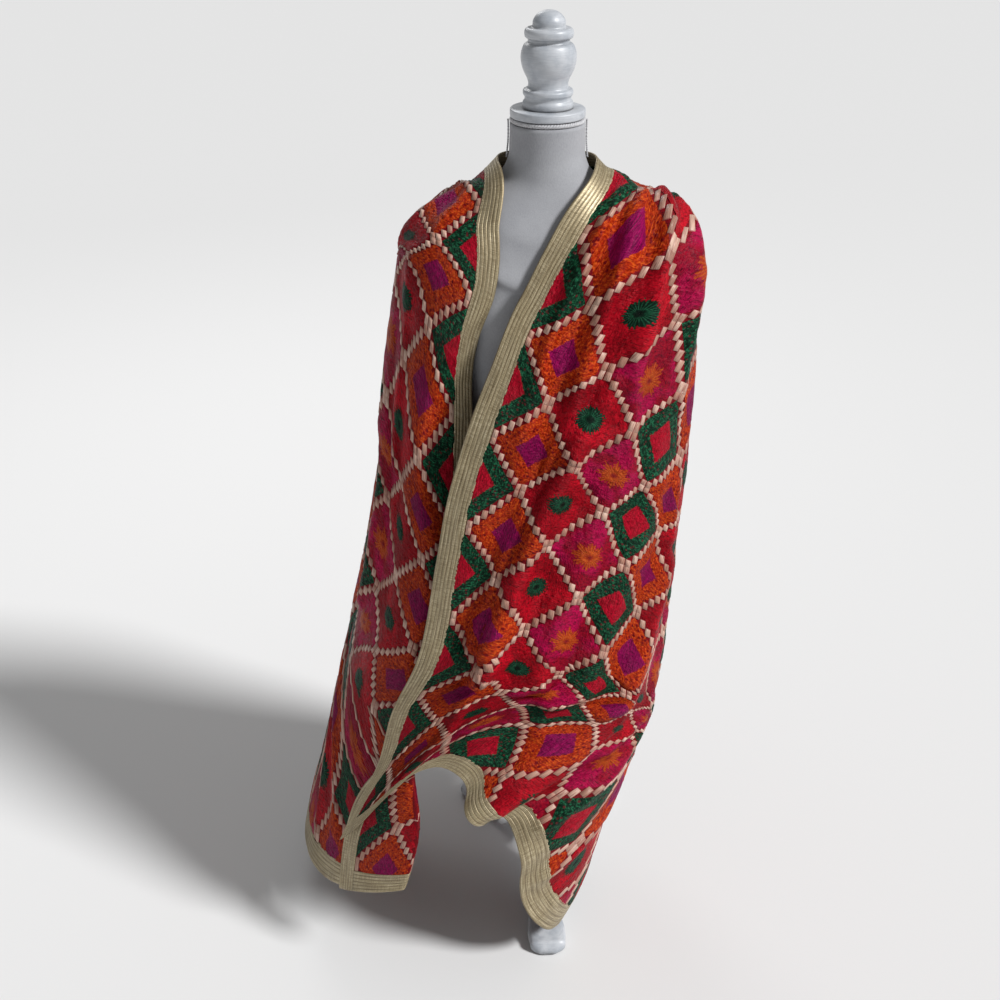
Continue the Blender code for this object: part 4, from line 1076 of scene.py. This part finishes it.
def make_ribbons(cloth):
    material = ribbon_finish()
    length = np.linspace(-END, END, round(CLOTH_LENGTH / RIBBON_STEP))
    begin = TRIM_WIDTH - RIBBON_TUCK
    width = np.linspace(begin, FAR - TRIM_WIDTH + RIBBON_TUCK, round(FAR / RIBBON_STEP))
    spots = {
        "neck": (length, lambda way, over: (way, np.maximum(over, 0))),
        "outer": (length, lambda way, over: (way, FAR - np.maximum(over, 0))),
        "left_end": (width, lambda way, over: (np.maximum(over, 0) - END, way)),
        "right_end": (width, lambda way, over: (END - np.maximum(over, 0), way)),
    }
    return [make_ribbon(cloth, edge, *line, material) for edge, line in spots.items()]


def make_sewing(cloth):
    """Small stitches that hold the ribbon along its inner edge."""
    inset = TRIM_WIDTH - SEW_INSET
    low_s, high_s, low_t, high_t = inset - END, END - inset, inset, FAR - inset
    lines = [((low_s, low_t), (high_s, low_t)), ((low_s, high_t), (high_s, high_t)),
             ((low_s, low_t), (low_s, high_t)), ((high_s, low_t), (high_s, high_t))]
    x, y = np.meshgrid([-1.0, -0.6, 0.6, 1.0], [-1.0, 0.0, 1.0], indexing="ij")
    hump = np.minimum(1 - 0.9 * np.abs(y), 1.6 * (1.05 - np.abs(x)))
    lift = CLOTH_HALF + RIBBON_HALF + RIB_RISE * 0.9 + SEW_RISE * hump
    parts = []
    for (s0, t0), (s1, t1) in lines:
        size = math.hypot(s1 - s0, t1 - t0)
        dir_s, dir_t = (s1 - s0) / size, (t1 - t0) / size
        for k in range(int(size / (SEW_LONG + SEW_GAP))):
            way, aside = (k + 0.5) * (SEW_LONG + SEW_GAP) + x * SEW_LONG / 2, y * SEW_WIDE / 2
            s, t = s0 + dir_s * way - dir_t * aside, t0 + dir_t * way + dir_s * aside
            parts.append((cloth.at(s, t, lift), grid_faces(*x.shape), {"cloth": triples(s, t)}))
    finish = Finish("sewing_thread", Roughness=0.5)
    fine = finish.noise(finish.attribute("cloth"), 900.0, 1.0)
    finish.fill(finish.shader.inputs["Base Color"], finish.ramp(fine, SEWING_THREAD))
    return make_joined("ribbon_sewing", parts, finish.material, "trim")


def make_shawl():
    cloth = Cloth()
    finishes = {kind: ring_finish(kind, **colours) for kind, colours in RING_COLOURS.items()}
    finishes.update({kind: flower_finish(kind, **colours) for kind, colours in FLOWER_COLOURS.items()})
    shell = make_shell(cloth)
    on_it = make_squares(cloth, finishes, "stitched_squares_", 1, SQUARE_STEPS, 11)
    on_it.append(make_bricks(cloth, "stitched_bricks", 1, BRICK_RISE, 21))
    # The flatter back of the stitching shows inside the hem and the turned-back corner.
    on_it += make_squares(cloth, finishes, "wrong_side_", -1, WRONG_SIDE_STEPS, 12)
    on_it.append(make_bricks(cloth, "wrong_side_bricks", -1, WRONG_SIDE_RISE, 22))
    on_it += make_ribbons(cloth) + [make_sewing(cloth)]


# The dress form as it is seen
FORM_FINE = 96               # sides of the form
FORM_SUB = 5                 # steps between two of its rings
NECK_TWISTS, SIDE_TWISTS = 26, 9
STRANDS = 3                  # in the neck cord; a side cord has two
NECK_STRAND, NECK_SPREAD = CORD_RADIUS * 0.50, CORD_RADIUS * 0.46    # a strand, its way from the middle
SIDE_STRAND, SIDE_SPREAD = SIDE_CORD_RADIUS * 0.55, SIDE_CORD_RADIUS * 0.5
LEG_SIDES, LEG_ROUND = 24, 0.6
LEG_STATIONS = ((0, 0.92, 34), (0.93, 1.0, 10))    # from, to, count along a leg, closer at its toe
THINNEST = 0.0004            # radius left open in the middle of a turned shape


def form_rings():
    angles = np.arange(FORM_FINE) * 360.0 / FORM_FINE
    top, neck, body = ([ring_point(angles, np.array(row[:-1]), row[-1]) for row in table]
                       for table in (NECK_RINGS[:2], NECK_RINGS[2:], BODY_RINGS))
    rings = neck
    for level in SHOULDER_LEVELS:
        levels = np.full(len(angles), level)
        rings.append(guide_point(angles, levels) - guide_outward(angles, levels) * FORM_GAP)
    rings += body
    curve = smooth_curve(np.arange(len(rings)), np.array(rings).reshape(len(rings), -1))
    fine = np.linspace(0, len(rings) - 1, (len(rings) - 1) * FORM_SUB + 1)
    smooth = read_curve(curve, fine).reshape(len(fine), -1, 3)
    base = [smooth[-1] * (share, share, 1) for share in (0.97, 0.5)]
    return top + list(smooth) + base


def tube_mesh(name, rings, material):
    """A closed skin through rings of equal numbers of points, capped at both ends."""
    rings = np.asarray(rings)
    return cap_ends(make_mesh(name, rings + PLACE, grid_faces(*rings.shape[:2], wrap=True), material))


def jersey_finish():
    """Pale knitted cover, with fine upright wales and a little soiling."""
    finish = Finish("form_jersey", Roughness=0.8, Sheen_Weight=0.15, Specular_IOR_Level=0.3)
    place = finish.place()
    x, y, z = finish.parts(place)
    wales, courses = (finish.maths("SINE", finish.maths("MULTIPLY", way, count))
                      for way, count in ((finish.maths("ARCTAN2", y, x), 420.0), (z, 5200.0)))
    knit = finish.bump(finish.maths("MULTIPLY", wales, courses), 0.15, 0.0003)
    fine = finish.noise(finish.stretch(place, (1.0, 1.0, 0.35)), 900.0)
    colour = finish.ramp(finish.noise(place, 11.0, 3.0), JERSEY_GREY)
    colour = finish.shaded(colour, fine, ((0.30, (0.86, 0.86, 0.87)), (0.65, 1.0)))
    return finish.done(colour, (fine, 0.70, 0.95), finish.bump(fine, 0.35, 0.0005, knit))


def paint_finish():
    """White satin paint with brush marks, grey in the hollows that is partly dirt and partly painted
    shade, and small chips.
    """
    finish = Finish("white_paint", Roughness=0.38, Coat_Weight=0.15, Coat_Roughness=0.3)
    place = finish.place()
    brush = finish.streaks(place, (60.0, 60.0, 900.0))
    slow = finish.noise(place, 34.0, 4.0, 0.6)
    # Ambient occlusion darkens the hollows: partly dirt, partly painted shade.
    hollow_dirt_and_shade = finish.node("AmbientOcclusion", {"Distance": 0.012}, "AO", samples=4)
    colour = finish.ramp(slow, PAINT_WHITE)
    colour = finish.shaded(colour, brush, ((0.34, (0.88, 0.88, 0.89)), (0.56, 1.0)))
    colour = finish.shaded(colour, hollow_dirt_and_shade, ((0.45, (0.52, 0.51, 0.50)), (0.85, 1.0)))
    specks = finish.step(finish.noise(place, 420.0, 2.0, 0.7), 0.76, 0.02)
    colour = finish.mix(specks, colour, (0.36, 0.34, 0.31))
    return finish.done(colour, (slow, 0.28, 0.55), finish.bump(brush, 0.22, 0.0005))


def cord_finish():
    """Grey twisted cord with fine strands."""
    finish = Finish("grey_cord", Roughness=0.5, Sheen_Weight=0.3)
    place = finish.place()
    fine = finish.noise(place, 1400.0, 2.0, 0.6)
    slow = finish.ramp(finish.noise(place, 160.0, 1.0), ((0.3, 0.30), (0.7, 0.62)))
    colour = finish.mix(0.25, finish.ramp(fine, CORD_GREY), slow)
    return finish.done(colour, (fine, 0.35, 0.7), finish.bump(fine, 0.6, 0.0004))


def circle(sides):
    turn = np.arange(sides) * 2 * np.pi / sides
    return np.cos(turn), np.sin(turn)


def smooth_profile(profile, per=4, sharp=80):
    """A profile with points added on a smooth curve between its own, except beside sharp corners."""
    points = np.array(profile)
    steps = np.diff(points, axis=0)
    bend = np.abs(np.diff(np.degrees(np.unwrap(np.arctan2(steps[:, 1], steps[:, 0])))))
    corner = [0] + [k + 1 for k in range(len(bend)) if bend[k] > sharp] + [len(points) - 1]
    fine = []
    for first, last in zip(corner[:-1], corner[1:]):
        part = points[first:last + 1]
        if len(part) > 2:
            size = running(np.linalg.norm(np.diff(part, axis=0), axis=-1))
            places = [np.linspace(a, b, per, endpoint=False) for a, b in zip(size[:-1], size[1:])]
            fine += list(read_curve(smooth_curve(size, part), np.concatenate(places)))
        else:
            fine += list(part[:-1])
    return fine + [points[-1]]


def bevelled(profile, size):
    """A turned profile with its corners cut by a small round."""
    points = np.array(profile)
    fine = [points[0]]
    for before, here, after in zip(points[:-2], points[1:-1], points[2:]):
        back, ahead = before - here, after - here
        reach = min(size, 0.4 * np.linalg.norm(back), 0.4 * np.linalg.norm(ahead))
        start, end = here + unit(back) * reach, here + unit(ahead) * reach
        fine += [(1 - u) ** 2 * start + 2 * u * (1 - u) * here + u * u * end
                 for u in (0.0, 0.33, 0.67, 1.0)]
    return fine + [points[-1]]


def drum(radius, top, bottom, bevel):
    return bevelled([(0.0, top), (radius, top), (radius, bottom), (0.0, bottom)], bevel)


def strand_rings(path, along, wide, radius, sides):
    """Rings of a round strand; wide is a direction across the path at each of its points."""
    (across, ahead), deep = circle(sides), np.cross(along, wide)
    rings = radius * (across[:, None] * wide[:, None] + ahead[:, None] * deep[:, None])
    return path[:, None] + rings + PLACE


def make_neck_cord(material):
    """Three strands twisted into the cord that lies round the neck under the plate."""
    count = NECK_TWISTS * 10
    way = np.arange(count) * 2 * np.pi / count
    parts = []
    for number in range(STRANDS):
        twist = NECK_TWISTS * way + number * 2 * np.pi / STRANDS
        reach, height = CORD_RING + NECK_SPREAD * np.cos(twist), CORD_HEIGHT + NECK_SPREAD * np.sin(twist)
        path = triples(reach * np.cos(way), reach * np.sin(way), height)
        along = unit(np.roll(path, -1, axis=0) - np.roll(path, 1, axis=0))
        wide = path - path.mean(axis=0)
        wide = unit(wide - (wide * along).sum(-1, keepdims=True) * along)
        rings = strand_rings(path, along, wide, NECK_STRAND, 8)
        parts.append((rings, grid_faces(count + 1, 8, wrap=True) % (count * 8), {}))
    make_joined("neck_cord_twisted", parts, material, "cord", "neck_cord")


def make_side_cord(name, side, material):
    """Two strands twisted down one side seam of the neck."""
    knots = [(CORD_RING + CORD_RADIUS + SEAM + SIDE_CORD_RADIUS, CORD_HEIGHT)]
    knots += [(radius + SEAM + SIDE_CORD_RADIUS * 1.15, height) for radius, height in SIDE_CORD_SEATS]
    curve = smooth_curve(np.arange(len(knots)), np.array(knots) * (side, 1))
    count = SIDE_TWISTS * 12
    reach, height = read_curve(curve, np.linspace(0, len(knots) - 1, count)).T
    parts = []
    for number in range(2):
        twist = np.linspace(0, SIDE_TWISTS * 2 * np.pi, count) + number * np.pi
        path = triples(reach + SIDE_SPREAD * np.cos(twist), SIDE_SPREAD * np.sin(twist), height)
        along = unit(np.gradient(path, axis=0))
        wide = unit(np.cross((0.0, 1.0, 0.0), along))
        rings = strand_rings(path, along, wide, SIDE_STRAND, 6)
        parts.append((rings, grid_faces(count, 6, wrap=True), {}))
    cap_ends(make_joined(name + "_twisted", parts, material, "cord", name))


def make_leg(name, foot, material):
    """One cast leg: its round-cornered section runs along the sections' smooth curve."""
    length = math.hypot(*foot)
    ahead, aside = np.array(foot) / length, np.array([foot[1], -foot[0]]) / length
    table = np.array(LEG_SECTIONS)
    shares = np.concatenate([np.linspace(*part) for part in LEG_STATIONS])
    rows = read_curve(smooth_curve(table[:, 0], table[:, 1:]), shares)
    across, rise = (np.sign(part) * np.abs(part) ** LEG_ROUND for part in circle(LEG_SIDES))
    rings = []
    for share, (half_width, under, top) in zip(shares, rows):
        spot = ahead * max(share * length, LEG_ROOT) + aside * (across * half_width)[:, None]
        height = np.maximum((under + top) / 2 + rise * (top - under) / 2, 0.0)
        rings.append(np.column_stack([spot, height]))
    finish_piece(tube_mesh(name + "_cast", rings, material), "paint", name)


def make_turned(name, node, profile, material, sides=96):
    """A turned piece of the stand or its top, from a profile of (radius, height)."""
    across, ahead = circle(sides)
    rings = [triples(max(radius, THINNEST) * across, max(radius, THINNEST) * ahead, height)
             for radius, height in profile]
    finish_piece(tube_mesh(name, rings, material), "paint", node)


def make_form_and_stand():
    jersey, paint, cord = jersey_finish(), paint_finish(), cord_finish()
    finish_piece(tube_mesh("form_cover", form_rings(), jersey), "jersey", "dress_form")
    make_turned("plate_turned", "neck_plate", drum(PLATE_RADIUS, PLATE_TOP, PLATE_BOTTOM, 0.0025), paint)
    make_turned("finial_turned", "finial", smooth_profile(FINIAL_PROFILE), paint)
    make_neck_cord(cord)
    make_side_cord("side_cord_left", -1, cord)
    make_side_cord("side_cord_right", 1, cord)
    make_turned("pole_turned", "stand_pole", drum(POLE_RADIUS, POLE_TOP, POLE_BOTTOM, 0.0008), paint, 64)
    make_turned("hub_turned", "stand_hub", bevelled(HUB_PROFILE, 0.003), paint, 64)
    for name, foot in LEG_FEET.items():
        make_leg(name, foot, paint)


# Camera, floor and light
CAMERA_AT = (-0.066, -1.835, 1.754)
CAMERA_LENS, SENSOR = 46.8, 36.0
CAMERA_PITCH = 28.8          # degrees below level
FLOOR_HALF = 30.0
FLOOR_GREY = (0.74, 0.74, 0.74)
LIT_AT = (0, 0, 0.8)         # what both lamps shine at
SUN_AT, SUN_SPREAD, SUN_POWER = (2.5, -1.1, 3.3), 11, 3.7
RIM_AT, RIM_SIZE, RIM_POWER = (-0.8, 2.4, 2.6), 1.2, 14
WORLD_STRENGTH = 0.27


def put(name, data, at, turn):
    fresh = bpy.data.objects.new(name, data)
    fresh.location, fresh.rotation_euler = PLACE + at, turn
    bpy.context.scene.collection.objects.link(fresh)
    return fresh


def make_lamp(name, kind, at, power, **settings):
    data = bpy.data.lights.new(name, kind)
    for key, value in settings.items():
        setattr(data, key, value)
    data.energy = power
    put(name, data, at, (Vector(LIT_AT) - Vector(at)).to_track_quat("-Z", "Y").to_euler())


def make_studio():
    scene = bpy.context.scene
    camera = bpy.data.cameras.new("camera")
    camera.lens, camera.sensor_width = CAMERA_LENS, SENSOR
    scene.camera = put("camera", camera, CAMERA_AT, (math.radians(90 - CAMERA_PITCH), 0, 0))
    finish = Finish("studio_floor", Base_Color=FLOOR_GREY, Roughness=0.9, Specular_IOR_Level=0.1)
    corners = [(x * FLOOR_HALF, y * FLOOR_HALF, 0) for x, y in ((-1, -1), (1, -1), (1, 1), (-1, 1))]
    floor = make_mesh("studio_floor", corners, [(0, 1, 2, 3)], finish.material)
    scene.world = bpy.data.worlds.new("studio")
    scene.world.use_nodes = True
    background = scene.world.node_tree.nodes["Background"].inputs
    background["Color"].default_value = (1.0, 1.0, 1.0, 1.0)
    background["Strength"].default_value = WORLD_STRENGTH
    make_lamp("key", "SUN", SUN_AT, SUN_POWER, angle=math.radians(SUN_SPREAD))
    make_lamp("rim", "AREA", RIM_AT, RIM_POWER, shape="DISK", size=RIM_SIZE)
    scene.view_settings.view_transform = "Standard"


make_shawl()
make_form_and_stand()
make_studio()
